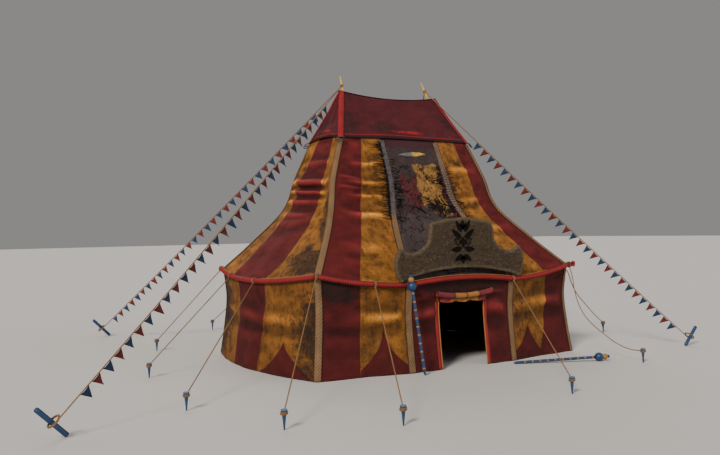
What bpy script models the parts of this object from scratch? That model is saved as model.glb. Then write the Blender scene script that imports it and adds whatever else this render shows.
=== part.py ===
"""A circus big top: striped canvas walls and roof on two masts, a raised crown with a ridge,
an eave roll, seam tapes, guy ropes with pegs, four lines of pennants on leaning stakes,
a sign board over the doorway and two striped poles.

Metres, +Z up. +X runs to the right along the front, +Y goes from the front to the back.
"""

import math

import bmesh
import bpy
from mathutils import Matrix, Quaternion, Vector

# Where the middle of the tent stands, so that the origin is the middle of the whole pitch.
TENT_CENTRE = Vector((1.609, -0.945, 0.0))

# The canvas, as the outer surface of a quarter of the tent; the rest follows by mirroring.
EAVE_CORNER = Vector((4.862, 3.598, 3.0))
EAVE_MID = Vector((1.98, 4.01, 2.66))
ROOF_TOP_CORNER = Vector((2.60, 1.08, 7.29))
CROWN_EDGE = Vector((2.62, 1.11, 7.31))
RIDGE_END = Vector((1.97, 0.062, 9.03))
RIDGE_SAG = 0.16
# How far the lower edge of the crown arches up between its corners.
CROWN_SIDE_LIFT = 0.05
CROWN_END_LIFT = 0.10
CANVAS = 0.012
SEAM_GAP = 0.014
EAVE_LAP = 0.03
HEM_LIFT = 0.0030

# How far out a seam has come on its way down: share of the height, share of the way out.
ROOF_FLARE = [(0, 0), (0.15, 0.095), (0.3, 0.185), (0.45, 0.25), (0.55, 0.33), (0.65, 0.46),
              (0.75, 0.61), (0.85, 0.76), (1, 1)]
# The inner seams, by side: x at the crown, and how far each has spread by its share of the height.
INNER_SEAMS = {
    -1: (1.04, [(0, 0), (0.4, 0.04), (0.55, 0.20), (0.8, 0.63), (1, 1)]),
    1: (1.17, [(0, 0), (0.38, 0.17), (0.57, 0.55), (0.8, 0.84), (1, 1)]),
}
# The front left hip stands out to the left, in metres.
LEFT_HIP_BULGE = [(0, 0), (0.18, 0.09), (0.37, 0.16), (0.57, 0.11), (0.71, 0.05), (1, 0)]
# Above its top edge the roof is tucked in under the crown, by these factors in x and y.
TUCK_X, TUCK_Y = 0.9, 3.0
CROWN_FLARE = [(0, 0), (0.5, 0.47), (1, 1)]
# How far a wall seam stands out from the eave, in metres, by its share of the drop.
WALL_FLARE = [(0, 0), (0.15, -0.045), (0.35, -0.08), (0.7, 0.0), (1, 0.10)]

ROOF_ROWS = [-0.05, 0, 0.04, 0.15, 0.3, 0.42, 0.52, 0.62, 0.72, 0.86, 1]
WALL_ROWS = [0, 0.15, 0.35, 0.55, 0.78, 1]
CROWN_ROWS = [0, 0.25, 0.5, 0.75, 1]

# The canvas between two seams: bulge at the roof's eave and at the ground, and eave sag.
SIDE_BAY = {"eave_bulge": 0.02, "base_bulge": -0.06, "sag": 0.0875}
CENTRE_BAY = {"eave_bulge": 0.0, "base_bulge": 0.0, "sag": -0.13}
END_BAY = {"eave_bulge": 0.44, "base_bulge": 0.70, "sag": 0.24}

# Bays and the seams before them, anticlockwise from the front left corner.
SEAMS = [
    ("front_left_corner", -1, -1, False),
    ("door_left", -1, -1, True),
    ("door_right", 1, -1, True),
    ("front_right_corner", 1, -1, False),
    ("back_right_corner", 1, 1, False),
    ("back_inner_right", 1, 1, True),
    ("back_inner_left", -1, 1, True),
    ("back_left_corner", -1, 1, False),
]
BAYS = [
    ("front_left", SIDE_BAY),
    ("front_door", CENTRE_BAY),
    ("front_right", SIDE_BAY),
    ("right_end", END_BAY),
    ("back_right", SIDE_BAY),
    ("back_centre", CENTRE_BAY),
    ("back_left", SIDE_BAY),
    ("left_end", END_BAY),
]
CROWN_SIDES = ["front", "right_end", "back", "left_end"]
INNER_COLUMNS = 3

TAPE_HALF_WIDTH = 0.125
TAPE_THICKNESS = 0.012
TOUCH = 0.0006
RIDGE_BAND_HALF_WIDTH = 0.085
RIDGE_BAND_THICKNESS = 0.03
RIDGE_BAND_OVERHANG = 0.035
CROWN_BAND_RISE = 0.02

EAVE_ROLL_RADIUS = 0.07
EAVE_ROLL_OUT = 0.0828
EAVE_ROLL_DROP = 0.02

# Each mast: foot x, and its leaning tip.
MAST_LEAN_FROM = 9.06
MAST_TAPER_TO = 8.4
MASTS = {
    "left_mast": (-1.87, Vector((-1.95, 0, 9.54))),
    "right_mast": (1.67, Vector((1.41, 0, 9.58))),
}
MAST_FOOT_RADIUS = 0.075
MAST_HEAD_RADIUS = 0.04
MAST_TIP_RADIUS = 0.014

DOOR_LEFT, DOOR_RIGHT, DOOR_HEIGHT = -0.86, 0.87, 2.05

FLAP_RADIUS = 0.10
FLAP_Y = -4.0672
FLAP_ROUTE = [(-0.99, 2.30), (-0.72, 2.25), (-0.3, 2.215), (0.15, 2.205), (0.6, 2.235),
              (0.92, 2.27), (1.13, 2.32)]

SIGN_THICKNESS = 0.14
SIGN_Y = -4.085
SIGN_X = -0.05
SIGN_FOOT_Z = 2.7188
# Half of the board's outline, from the middle of its foot round to the middle of its top.
SIGN_HALF = [(0, 3.06), (0.75, 3.03), (1.40, 2.94), (1.95, 2.83), (2.20, SIGN_FOOT_Z),
             (2.30, SIGN_FOOT_Z), (2.42, 2.86), (2.50, 3.20), (2.45, 3.50), (2.32, 3.71),
             (2.20, 3.68), (2.05, 3.585), (1.85, 3.57), (1.60, 3.64), (1.40, 3.78),
             (1.27, 3.98), (1.24, 4.20), (1.20, 4.42), (1.12, 4.49), (0.85, 4.54),
             (0.45, 4.61), (0, 4.63)]

# Striped poles: a pointed shaft with balls at these heights and of these radii, for a pole of
# this length. A longer pole has a longer shaft.
POLE_LENGTH = 2.98
POLE_SHAFT = 0.045
POLE_POINT = 0.10
POLE_POINT_RADIUS = 0.012
POLE_BALLS = [(2.625, 0.14), (2.815, 0.095), (2.925, 0.055)]
STANDING_POLE_FOOT = Vector((-1.86, -4.57, 0))
STANDING_POLE_BALL = Vector((-2.075, -4.2827, 2.617))
STANDING_POLE_LIFT = 0.00163
LYING_POLE_FOOT = Vector((1.506, -4.605, 0))
LYING_POLE_HEAD = Vector((4.033, -5.773, 0))
LYING_POLE_LENGTH = 3.14

PEG_HEIGHT = 0.45
PEG_RADIUS = 0.075
# A peg's outline from its foot up, as shares of its radius and height.
PEG_OUTLINE = [(0.21, 0.0), (0.55, 0.6), (0.86, 0.86), (1.0, 0.88), (1.0, 1.0)]
ROPE_ON_PEG = 0.84
ROPE_RADIUS = 0.018
# Guy ropes: bay and share of it where the rope leaves the eave roll, and the peg's foot.
GUYS = {
    "front_left_corner": (0, 0.0, (-8.08, -8.09)),
    "front_left": (0, 0.60, (-5.76, -9.24)),
    "door_right": (2, 0.0, (-0.36, -8.93)),
    "right_end_rear": (3, 0.72, (9.30, 2.60)),
    "back_right_corner": (4, 0.0, (7.70, 7.90)),
    "back_inner": (5, 0.0, (-0.36, 8.93)),
    "back_left": (6, 0.40, (-2.90, 10.09)),
    "back_left_corner": (7, 0.0, (-6.86, 5.21)),
    "left_end_rear": (7, 0.235, (-8.68, -0.07)),
    "left_end_front": (7, 0.55, (-9.21, -5.00)),
}
# Two guys on the right have come slack. Each leaves the eave roll like the others, hangs
# through these points and ends in its peg's head.
SLACK_GUYS = {
    "front_right_corner": (3, 0.0, (4.90, -6.77), [
        (4.965, -3.76, 2.60), (4.965, -3.86, 2.11), (4.955, -4.04, 1.66), (4.945, -4.31, 1.29),
        (4.935, -4.72, 0.98), (4.93, -5.18, 0.73), (4.92, -5.60, 0.53), (4.91, -6.02, 0.40),
        (4.905, -6.42, 0.355)]),
    "right_end_front": (3, 0.06, (9.56, -0.89), [
        (5.25, -3.26, 2.70), (5.60, -3.07, 2.34), (5.98, -2.86, 2.02), (6.45, -2.60, 1.74),
        (7.17, -2.21, 1.40), (7.95, -1.78, 1.04), (8.65, -1.40, 0.74), (9.17, -1.12, 0.53)]),
}
SLACK_POINTS = {"front_right_corner": 52, "right_end_front": 54}

# Lines of pennants: mast, height on it, foot and head of the leaning stake, how many pennants,
# and the shares of the rope between which they hang.
BUNTING = {
    "front_left_bunting": (
        "left_mast", 9.21, (-12.164, -6.011, 0), (-12.809, -6.144, 0.657), 33, 0.089, 0.960),
    "back_left_bunting": (
        "left_mast", 9.21, (-7.186, 10.811, 0), (-7.861, 10.794, 0.682), 33, 0.093, 0.950),
    "front_right_bunting": (
        "right_mast", 9.27, (8.854, -5.302, 0), (9.416, -5.311, 0.610), 29, 0.208, 0.972),
    "back_right_bunting": (
        "right_mast", 9.27, (7.00, 10.70, 0), (7.48, 11.15, 0.66), 31, 0.208, 0.965),
}
BUNTING_SAG = 0.05
BUNTING_THICKNESS = 0.022
BUNTING_ROPE_WIDTH = 0.036
PENNANT_WIDTH_SHARE = 0.74
PENNANT_DROP = 0.30
# A pennant's point hangs this share of its width from the edge nearer the mast.
PENNANT_POINT = 0.28
STAKE_RADIUS = 0.06
STAKE_SIDES = 12
# The rope ends in a ring round the middle of the stake, pulled to this side about the stake.
RING_RADIUS = 0.15
RING_WIRE = 0.03
RING_CLEARANCE = 0.0004
RING_TURN = math.radians(-70)

RED_CANVAS = (0.22, 0.018, 0.022)
YELLOW_CANVAS = (0.42, 0.19, 0.02)
MAROON_CANVAS = (0.12, 0.012, 0.018)
BRIGHT_RED = (0.40, 0.012, 0.02)
TAPE_TAN = (0.30, 0.17, 0.07)
ROPE_TAN = (0.28, 0.16, 0.07)
BLUE_PAINT = (0.02, 0.10, 0.26)
MAST_WOOD = (0.32, 0.20, 0.06)
SIGN_WOOD = (0.14, 0.10, 0.06)


def clear_scene():
    for obj in list(bpy.data.objects):
        bpy.data.objects.remove(obj)


def collection_named(name):
    collection = bpy.data.collections.new(name)
    bpy.context.scene.collection.children.link(collection)
    return collection


def finish_of(name, colour, roughness, metallic=0.0):
    material = bpy.data.materials.new(name)
    material.use_nodes = True
    shader = material.node_tree.nodes["Principled BSDF"]
    shader.inputs["Base Color"].default_value = (*colour, 1)
    shader.inputs["Roughness"].default_value = roughness
    shader.inputs["Metallic"].default_value = metallic
    return material


def add_part(name, data, colour, roughness=0.85, metallic=0.0):
    obj = bpy.data.objects.new(name, data)
    PARTS.objects.link(obj)
    obj.parent = TENT
    data.materials.append(finish_of(name, colour, roughness, metallic))
    return obj


def add_cutter(name, data):
    obj = bpy.data.objects.new(name, data)
    CUTTERS.objects.link(obj)
    obj.parent = TENT
    obj.hide_render = True
    obj.display_type = "WIRE"
    return obj


def combine(obj, other, operation):
    boolean = obj.modifiers.new(other.name, "BOOLEAN")
    boolean.object = other
    boolean.operation = operation
    boolean.solver = "EXACT"


def smooth_value(table, at):
    """The value at this place of a curve through the table's points, with no overshoot at a step."""
    at = min(max(at, table[0][0]), table[-1][0])
    for i in range(len(table) - 1):
        (a, low), (b, high) = table[i], table[i + 1]
        if at > b:
            continue
        before = table[max(i - 1, 0)]
        after = table[min(i + 2, len(table) - 1)]
        start = (high - before[1]) / (b - before[0]) * (b - a)
        end = (after[1] - low) / (after[0] - a) * (b - a)
        t = (at - a) / (b - a)
        return (low * (2 * t**3 - 3 * t**2 + 1) + high * (3 * t**2 - 2 * t**3)
                + start * (t**3 - 2 * t**2 + t) + end * (t**3 - t**2))
    return table[-1][1]


# The canvas surfaces


def roof_seam(seam, share):
    """A point of a roof seam, by its share of the way from the crown down to the eave."""
    name, side, depth, inner = SEAMS[seam]
    out = smooth_value(ROOF_FLARE, share)
    if inner:
        eave = EAVE_MID
        top_x, spreads = INNER_SEAMS[side]
        x = top_x + (eave.x - top_x) * smooth_value(spreads, share)
    else:
        eave = EAVE_CORNER
        x = ROOF_TOP_CORNER.x + (eave.x - ROOF_TOP_CORNER.x) * out
    if name == "front_left_corner":
        x += smooth_value(LEFT_HIP_BULGE, share)
    y = ROOF_TOP_CORNER.y + (eave.y - ROOF_TOP_CORNER.y) * out
    z = ROOF_TOP_CORNER.z + (eave.z - ROOF_TOP_CORNER.z) * share
    if share < 0:
        x, y = x * (1 + TUCK_X * share), y * (1 + TUCK_Y * share)
    return Vector((side * x, depth * y, z))


def wall_seam(seam, share):
    _, side, depth, inner = SEAMS[seam]
    eave = EAVE_MID if inner else EAVE_CORNER
    out = smooth_value(WALL_FLARE, share)
    along = 0 if inner else out
    height = HEM_LIFT + (eave.z - EAVE_LAP - HEM_LIFT) * (1 - share)
    return Vector((side * (eave.x + along), depth * (eave.y + out), height))


def outward(start, end):
    return Vector((end.y - start.y, start.x - end.x, 0)).normalized()


def between(start, end, share, bulge, sag):
    """A point of the canvas between two seams, swollen outwards and hanging in the middle."""
    swell = 4 * share * (1 - share)
    point = start.lerp(end, share) + outward(start, end) * bulge * swell
    point.z -= sag * swell
    return point


def roof_point(bay, row, share):
    shape = BAYS[bay][1]
    height = max(ROOF_ROWS[row], 0)
    start = roof_seam(bay, ROOF_ROWS[row])
    end = roof_seam((bay + 1) % 8, ROOF_ROWS[row])
    return between(start, end, share, shape["eave_bulge"] * height**1.5, shape["sag"] * height**2)


def wall_point(bay, row, share):
    shape = BAYS[bay][1]
    drop = WALL_ROWS[row]
    bulge = shape["eave_bulge"] + (shape["base_bulge"] - shape["eave_bulge"]) * drop
    start, end = wall_seam(bay, drop), wall_seam((bay + 1) % 8, drop)
    return between(start, end, share, bulge, shape["sag"] * (1 - drop))


def crown_seam(corner, share):
    side, depth = [(-1, -1), (1, -1), (1, 1), (-1, 1)][corner]
    out = smooth_value(CROWN_FLARE, share)
    point = RIDGE_END.lerp(CROWN_EDGE, out)
    return Vector((side * point.x, depth * point.y, RIDGE_END.z + (CROWN_EDGE.z - RIDGE_END.z) * share))


def crown_point(bay, row, share):
    height = CROWN_ROWS[row]
    long_side = bay in (0, 2)
    sag = RIDGE_SAG * (1 - height) ** 1.5 if long_side else 0
    lift = (CROWN_SIDE_LIFT if long_side else CROWN_END_LIFT) * height**3
    start, end = crown_seam(bay, height), crown_seam((bay + 1) % 4, height)
    return between(start, end, share, 0, sag - lift)


def canvas_row(surface, bay, row):
    """One row of a panel: its edge by the seam, where the tape ends, the middle, and back."""
    start, end = surface(bay, row, 0), surface(bay, row, 1)
    leg = min(TAPE_HALF_WIDTH / (end - start).length, 0.45)
    inner = [leg + (1 - 2 * leg) * k / (INNER_COLUMNS + 1) for k in range(INNER_COLUMNS + 2)]
    points = [surface(bay, row, share) for share in inner]
    first = start + (points[0] - start).normalized() * SEAM_GAP
    last = end + (points[-1] - end).normalized() * SEAM_GAP
    return [first, *points, last]


def panel_rows(surface, bay, rows):
    return [canvas_row(surface, bay, row) for row in range(rows)]


def seam_rows(surface, seam, bays, rows):
    """The strip over a seam: the last two columns of one panel, the seam, the next's first two."""
    strip = []
    for row in range(rows):
        before = canvas_row(surface, (seam - 1) % bays, row)
        after = canvas_row(surface, seam, row)
        strip.append([before[-2], before[-1], surface(seam, row, 0), after[0], after[1]])
    return strip


def grid_of(rows):
    """A grid bent to these rows of points, the first row on top. It faces outwards."""
    down, across = len(rows) - 1, len(rows[0]) - 1
    mesh = bmesh.new()
    bmesh.ops.create_grid(mesh, x_segments=across, y_segments=down, size=0.5)
    places = {}
    for vertex in mesh.verts:
        column = round((vertex.co.x + 0.5) * across)
        row = round((0.5 - vertex.co.y) * down)
        places[row, column] = vertex
        vertex.co = rows[row][column]
    bmesh.ops.triangulate(mesh, faces=mesh.faces, quad_method="FIXED")
    mesh.normal_update()
    return mesh, places


def lifted(rows, lift):
    mesh, places = grid_of(rows)
    raised = [[places[r, c].co + places[r, c].normal * lift for c in range(len(rows[0]))]
              for r in range(len(rows))]
    mesh.free()
    return raised


def sheet_mesh(name, rows):
    mesh, _ = grid_of(rows)
    data = bpy.data.meshes.new(name)
    mesh.to_mesh(data)
    mesh.free()
    data.shade_smooth()
    return data


def thicken(obj, thickness, offset):
    solid = obj.modifiers.new("thickness", "SOLIDIFY")
    solid.thickness = thickness
    solid.offset = offset


def add_canvas(name, rows, colour):
    obj = add_part(name, sheet_mesh(name, rows), colour, 0.9)
    thicken(obj, CANVAS, -1)
    return obj


def add_roof_and_walls():
    for bay, (name, _) in enumerate(BAYS):
        colour = RED_CANVAS if bay % 2 else YELLOW_CANVAS
        add_canvas(f"{name}_roof", panel_rows(roof_point, bay, len(ROOF_ROWS)), colour)
        wall = add_canvas(f"{name}_wall", panel_rows(wall_point, bay, len(WALL_ROWS)), colour)
        if name == "front_door":
            cut_doorway(wall)


def cut_doorway(wall):
    bm = bmesh.new()
    bmesh.ops.create_cube(bm, size=1)
    below = 0.2
    size = Vector((DOOR_RIGHT - DOOR_LEFT, 1.0, DOOR_HEIGHT + below))
    centre = Vector(((DOOR_LEFT + DOOR_RIGHT) / 2, -EAVE_MID.y, (DOOR_HEIGHT - below) / 2))
    for vertex in bm.verts:
        vertex.co = vertex.co * size + centre
    data = bpy.data.meshes.new("doorway")
    bm.to_mesh(data)
    bm.free()
    combine(wall, add_cutter("doorway", data), "DIFFERENCE")


def add_crown():
    for bay, name in enumerate(CROWN_SIDES):
        add_canvas(f"crown_{name}", panel_rows(crown_point, bay, len(CROWN_ROWS)), MAROON_CANVAS)


def tape_rows(seam):
    return (seam_rows(roof_point, seam, 8, len(ROOF_ROWS))
            + seam_rows(wall_point, seam, 8, len(WALL_ROWS)))


def add_tapes():
    for seam, (name, *_) in enumerate(SEAMS):
        rows = lifted(tape_rows(seam), TOUCH)
        tape = add_part(f"{name}_tape", sheet_mesh(name, rows), TAPE_TAN, 0.8)
        thicken(tape, TAPE_THICKNESS, 1)


def ridge_band_mesh():
    """The flat band along the ridge: it follows the sagging top edges of the crown's two slopes,
    and reaches over the crown's corners."""
    left, right = crown_point(0, 0, 0), crown_point(0, 0, 1)
    beyond = Vector((RIDGE_BAND_OVERHANG, 0, 0))
    front = [left - beyond, left, *canvas_row(crown_point, 0, 0)[1:-1], right, right + beyond]
    rows = [[Vector((p.x, side * RIDGE_BAND_HALF_WIDTH, p.z + TOUCH)) for p in front] for side in (1, -1)]
    return sheet_mesh("crown_bands", rows)


def crown_band_rows(corner, seam):
    """A band down one corner of the crown, whose foot laps over the head of the roof's tape."""
    strip = seam_rows(crown_point, corner, 4, len(CROWN_ROWS))
    rise = (strip[0][2] - strip[1][2]).normalized() * CROWN_BAND_RISE
    head = [point + rise for point in strip[0]]
    rows = lifted([head, *strip], TOUCH)
    tape = lifted(lifted(tape_rows(seam), TOUCH), TAPE_THICKNESS + TOUCH)
    return [*rows, tape[ROOF_ROWS.index(0.04)]]


def add_crown_bands():
    bands = add_part("crown_bands", ridge_band_mesh(), BRIGHT_RED, 0.75)
    thicken(bands, RIDGE_BAND_THICKNESS, 1)
    corner_seams = [i for i, seam in enumerate(SEAMS) if not seam[3]]
    for corner, seam in enumerate(corner_seams):
        name = f"crown_band_{corner}"
        band = add_cutter(name, sheet_mesh(name, crown_band_rows(corner, seam)))
        thicken(band, TAPE_THICKNESS, 1)
        combine(bands, band, "UNION")
    for name in MASTS:
        combine(bands, bpy.data.objects[f"{name}_room"], "DIFFERENCE")


# Round pieces


def cylinder_mesh(name, radius, low, high, sides, facing=None):
    """A cylinder from low to high. One of its edges lies on the side that it is facing."""
    bm = bmesh.new()
    axis = high - low
    bmesh.ops.create_cone(bm, cap_ends=True, segments=sides, radius1=radius, radius2=radius,
                          depth=axis.length)
    turn = Vector((0, 0, 1)).rotation_difference(axis)
    if facing:
        edge = turn @ Vector((0, 1, 0))
        angle = math.atan2(axis.normalized().dot(edge.cross(facing)), edge.dot(facing))
        turn = Quaternion(axis, angle) @ turn
    for vertex in bm.verts:
        vertex.co = turn @ vertex.co + (low + high) / 2
    data = bpy.data.meshes.new(name)
    bm.to_mesh(data)
    bm.free()
    return data


def curve_mesh(curve):
    """The mesh of a curve, with its doubled points merged."""
    guide = bpy.data.objects.new(curve.name, curve)
    PARTS.objects.link(guide)
    data = bpy.data.meshes.new_from_object(guide.evaluated_get(bpy.context.evaluated_depsgraph_get()))
    bpy.data.objects.remove(guide)
    bm = bmesh.new()
    bm.from_mesh(data)
    bmesh.ops.remove_doubles(bm, verts=bm.verts, dist=1e-5)
    bmesh.ops.recalc_face_normals(bm, faces=bm.faces)
    bm.to_mesh(data)
    bm.free()
    data.materials.clear()
    return data


def tube_mesh(name, points, radius, closed=False, resolution=2):
    """A tube along these points. A point may carry its own share of the radius as a fourth number."""
    curve = bpy.data.curves.new(name, "CURVE")
    curve.dimensions = "3D"
    curve.bevel_depth = radius
    curve.bevel_resolution = resolution
    curve.use_fill_caps = True
    curve.twist_mode = "Z_UP" if closed else "MINIMUM"
    spline = curve.splines.new("POLY")
    spline.points.add(len(points) - 1)
    for place, point in zip(spline.points, points):
        place.co = (*point[:3], 1)
        place.radius = point[3] if len(point) > 3 else 1
    spline.use_cyclic_u = closed
    return curve_mesh(curve)


def flat_mesh(name, outline, thickness, place):
    """A flat piece with this outline, each point moved by the function to its place."""
    curve = bpy.data.curves.new(name, "CURVE")
    curve.dimensions = "2D"
    curve.fill_mode = "BOTH"
    curve.extrude = thickness / 2
    spline = curve.splines.new("POLY")
    spline.points.add(len(outline) - 1)
    for point, (along, above) in zip(spline.points, outline):
        point.co = (along, above, 0, 1)
    spline.use_cyclic_u = True
    data = curve_mesh(curve)
    for vertex in data.vertices:
        vertex.co = place(*vertex.co)
    return data


def eave_ring():
    """The eave line all round, as points in order."""
    last = len(ROOF_ROWS) - 1
    ring = []
    for bay in range(8):
        ring.append(roof_point(bay, last, 0))
        ring.extend(canvas_row(roof_point, bay, last)[1:-1])
    return ring


def offset_ring(ring, distance, drop):
    """The ring moved outwards by a distance, mitred at its corners, and down by the drop."""
    moved = []
    for i, point in enumerate(ring):
        before = outward(ring[i - 1], point)
        after = outward(point, ring[(i + 1) % len(ring)])
        mitre = (before + after).normalized()
        place = point + mitre * distance / mitre.dot(after)
        moved.append(Vector((place.x, place.y, place.z - drop)))
    return moved


def add_eave_roll():
    route = offset_ring(eave_ring(), EAVE_ROLL_OUT, EAVE_ROLL_DROP)
    add_part("eave_roll", tube_mesh("eave_roll", route, EAVE_ROLL_RADIUS, closed=True), BRIGHT_RED, 0.7)
    add_cutter("eave_roll_room", tube_mesh("eave_roll_room", route, EAVE_ROLL_RADIUS + TOUCH, closed=True))


def mast_points(x, tip):
    shoulder = Vector((x, 0, MAST_LEAN_FROM))
    head = MAST_HEAD_RADIUS / MAST_FOOT_RADIUS
    middle = (MAST_HEAD_RADIUS + MAST_TIP_RADIUS) / 2 / MAST_FOOT_RADIUS
    return [(x, 0, 0, 1), (x, 0, MAST_TAPER_TO, head), (*shoulder, head),
            (*shoulder.lerp(tip, 0.5), middle), (*tip, MAST_TIP_RADIUS / MAST_FOOT_RADIUS)]


def add_masts():
    wider = 1 + TOUCH / MAST_HEAD_RADIUS
    for name, (x, tip) in MASTS.items():
        points = mast_points(x, tip)
        add_part(name, tube_mesh(name, points, MAST_FOOT_RADIUS, resolution=4), MAST_WOOD, 0.6)
        room = tube_mesh(f"{name}_room", points, MAST_FOOT_RADIUS * wider, resolution=4)
        add_cutter(f"{name}_room", room)


def add_door_flap():
    points = [Vector((x, FLAP_Y, z)) for x, z in FLAP_ROUTE]
    add_part("door_flap_roll", tube_mesh("door_flap_roll", points, FLAP_RADIUS), RED_CANVAS, 0.85)


def add_sign():
    outline = SIGN_HALF + [(-x, z) for x, z in reversed(SIGN_HALF[1:-1])]
    data = flat_mesh("sign_board", outline, SIGN_THICKNESS,
                     lambda x, z, depth: (SIGN_X + x, SIGN_Y + depth, z))
    data.flip_normals()
    add_part("sign_board", data, SIGN_WOOD, 0.9)


def pole_profile(length):
    """The pole's outline, from its point up: shaft, big ball, gold ball and small ball."""
    profile = [(POLE_POINT_RADIUS, 0.0), (POLE_SHAFT, POLE_POINT)]
    lift = length - POLE_LENGTH
    arcs = 6
    first_angle, last_angle = 0.12 * math.pi, 0.88 * math.pi
    for height, radius in POLE_BALLS:
        for k in range(arcs + 1):
            angle = first_angle + (last_angle - first_angle) * k / arcs
            profile.append((radius * math.sin(angle), height + lift - radius * math.cos(angle)))
    return profile


def turned_mesh(name, profile, foot, head, sides=12):
    """The profile turned about the line from foot to head."""
    bm = bmesh.new()
    points = [(0, profile[0][1]), *profile, (0, profile[-1][1])]
    turn = (head - foot).to_track_quat("Z", "Y").to_matrix()
    vertices = [bm.verts.new((radius, 0, height)) for radius, height in points]
    edges = [bm.edges.new(pair) for pair in zip(vertices, vertices[1:])]
    bmesh.ops.spin(bm, geom=vertices + edges, cent=(0, 0, 0), axis=(0, 0, 1), dvec=(0, 0, 0),
                   angle=2 * math.pi, steps=sides, use_merge=True)
    bmesh.ops.remove_doubles(bm, verts=bm.verts, dist=1e-5)
    bmesh.ops.recalc_face_normals(bm, faces=bm.faces)
    for vertex in bm.verts:
        vertex.co = turn @ vertex.co + foot
    data = bpy.data.meshes.new(name)
    bm.to_mesh(data)
    bm.free()
    data.shade_smooth()
    return data


def add_poles():
    foot = STANDING_POLE_FOOT + Vector((0, 0, STANDING_POLE_LIFT))
    data = turned_mesh("standing_pole", pole_profile(POLE_LENGTH), foot, STANDING_POLE_BALL)
    add_part("standing_pole", data, BLUE_PAINT, 0.5)
    ball_height = POLE_BALLS[0][0] + LYING_POLE_LENGTH - POLE_LENGTH
    rise = (POLE_BALLS[0][1] - POLE_SHAFT) / ball_height
    along = (LYING_POLE_HEAD - LYING_POLE_FOOT).normalized()
    foot = LYING_POLE_FOOT + Vector((0, 0, POLE_SHAFT))
    head = foot + along + Vector((0, 0, rise))
    data = turned_mesh("lying_pole", pole_profile(LYING_POLE_LENGTH), foot, head)
    add_part("lying_pole", data, BLUE_PAINT, 0.5)


# Ropes, pegs and pennants


def peg_mesh(name, foot, grow=0.0):
    profile = [(PEG_RADIUS * wide + grow, PEG_HEIGHT * high) for wide, high in PEG_OUTLINE]
    place = Vector((*foot, 0))
    return turned_mesh(name, profile, place, place + Vector((0, 0, 1)), sides=10)


def roll_point(bay, share):
    """A point on the middle line of the eave roll."""
    last = len(ROOF_ROWS) - 1
    point = roof_point(bay, last, share)
    if share:
        out = outward(roof_point(bay, last, share - 0.01), roof_point(bay, last, share + 0.01))
    else:
        before = outward(roof_point((bay - 1) % 8, last, 0.97), point)
        out = (before + outward(point, roof_point(bay, last, 0.03))).normalized()
    point = point + out * EAVE_ROLL_OUT
    return Vector((point.x, point.y, point.z - EAVE_ROLL_DROP))


def add_guys():
    room = bpy.data.objects["eave_roll_room"]
    for name, (bay, share, foot) in GUYS.items():
        peg = add_cutter(f"{name}_peg", peg_mesh(f"{name}_peg", foot))
        start = roll_point(bay, share)
        end = Vector((*foot, PEG_HEIGHT * ROPE_ON_PEG))
        data = cylinder_mesh(name, ROPE_RADIUS, start, end, 6)
        guy = add_part(f"{name}_guy", data, ROPE_TAN, 0.9)
        combine(guy, room, "DIFFERENCE")
        combine(guy, peg, "UNION")


def smooth_route(route, count):
    """Points at even shares of a smooth curve through the route's points."""
    along = [0.0]
    for a, b in zip(route, route[1:]):
        along.append(along[-1] + (b - a).length)
    tables = [[(s, point[axis]) for s, point in zip(along, route)] for axis in range(3)]
    return [Vector([smooth_value(table, along[-1] * k / (count - 1)) for table in tables])
            for k in range(count)]


def add_slack_guys():
    room = bpy.data.objects["eave_roll_room"]
    for name, (bay, share, foot, middle) in SLACK_GUYS.items():
        route = [roll_point(bay, share), *map(Vector, middle), Vector((*foot, PEG_HEIGHT * ROPE_ON_PEG))]
        data = tube_mesh(f"{name}_slack_rope", smooth_route(route, SLACK_POINTS[name]), ROPE_RADIUS)
        rope = add_part(f"{name}_slack_rope", data, ROPE_TAN, 0.9)
        add_part(f"{name}_peg", peg_mesh(f"{name}_peg", foot), BLUE_PAINT, 0.5)
        peg_room = add_cutter(f"{name}_peg_room", peg_mesh(f"{name}_peg_room", foot, TOUCH))
        combine(rope, room, "DIFFERENCE")
        combine(rope, peg_room, "DIFFERENCE")


def bunting_start(line):
    mast, height = BUNTING[line][:2]
    x, tip = MASTS[mast]
    shoulder = Vector((x, 0, MAST_LEAN_FROM))
    return shoulder.lerp(tip, (height - MAST_LEAN_FROM) / (tip.z - MAST_LEAN_FROM))


def stake_of(line):
    """The ends of a stake's middle line, its lower rim on the ground, and the side that its ring
    is pulled to."""
    foot, head = map(Vector, BUNTING[line][2:4])
    axis = (head - foot).normalized()
    lift = Vector((0, 0, STAKE_RADIUS * axis.xy.length))
    towards = bunting_start(line) - (foot + head) / 2 - lift
    pull = (towards - axis * towards.dot(axis)).normalized()
    pull.rotate(Quaternion(axis, RING_TURN))
    return foot + lift, head + lift, pull


def add_stakes():
    for line in BUNTING:
        foot, head, pull = stake_of(line)
        data = cylinder_mesh(line, STAKE_RADIUS, foot, head, STAKE_SIDES, facing=-pull)
        add_part(line.replace("bunting", "stake"), data, BLUE_PAINT, 0.5)


def bunting_outline(length, count, first, last):
    """The rope's sagging strip with its pennants below, as (along, above) points. The rope runs
    from 0 to the length along a straight line, and sags below it."""

    def rope(along):
        share = along / length
        return -BUNTING_SAG * 4 * share * (1 - share)

    half = BUNTING_ROPE_WIDTH / 2
    pitch = length * (last - first) / count
    width = pitch * PENNANT_WIDTH_SHARE
    bare = length * first / 2
    lower = [(0, -half), (bare, rope(bare) - half)]
    upper = [(0, half), (bare, rope(bare) + half)]
    for k in range(count):
        start = length * first + pitch * k
        middle = start + width / 2
        point = start + width * PENNANT_POINT
        lower.append((start, rope(start) - half))
        lower.append((point, rope(middle) - half - PENNANT_DROP))
        lower.append((start + width, rope(start + width) - half))
        if k % 2:
            upper.append((middle, rope(middle) + half))
    lower.append((length, -half))
    upper.append((length, half))
    return lower + upper[::-1]


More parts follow.
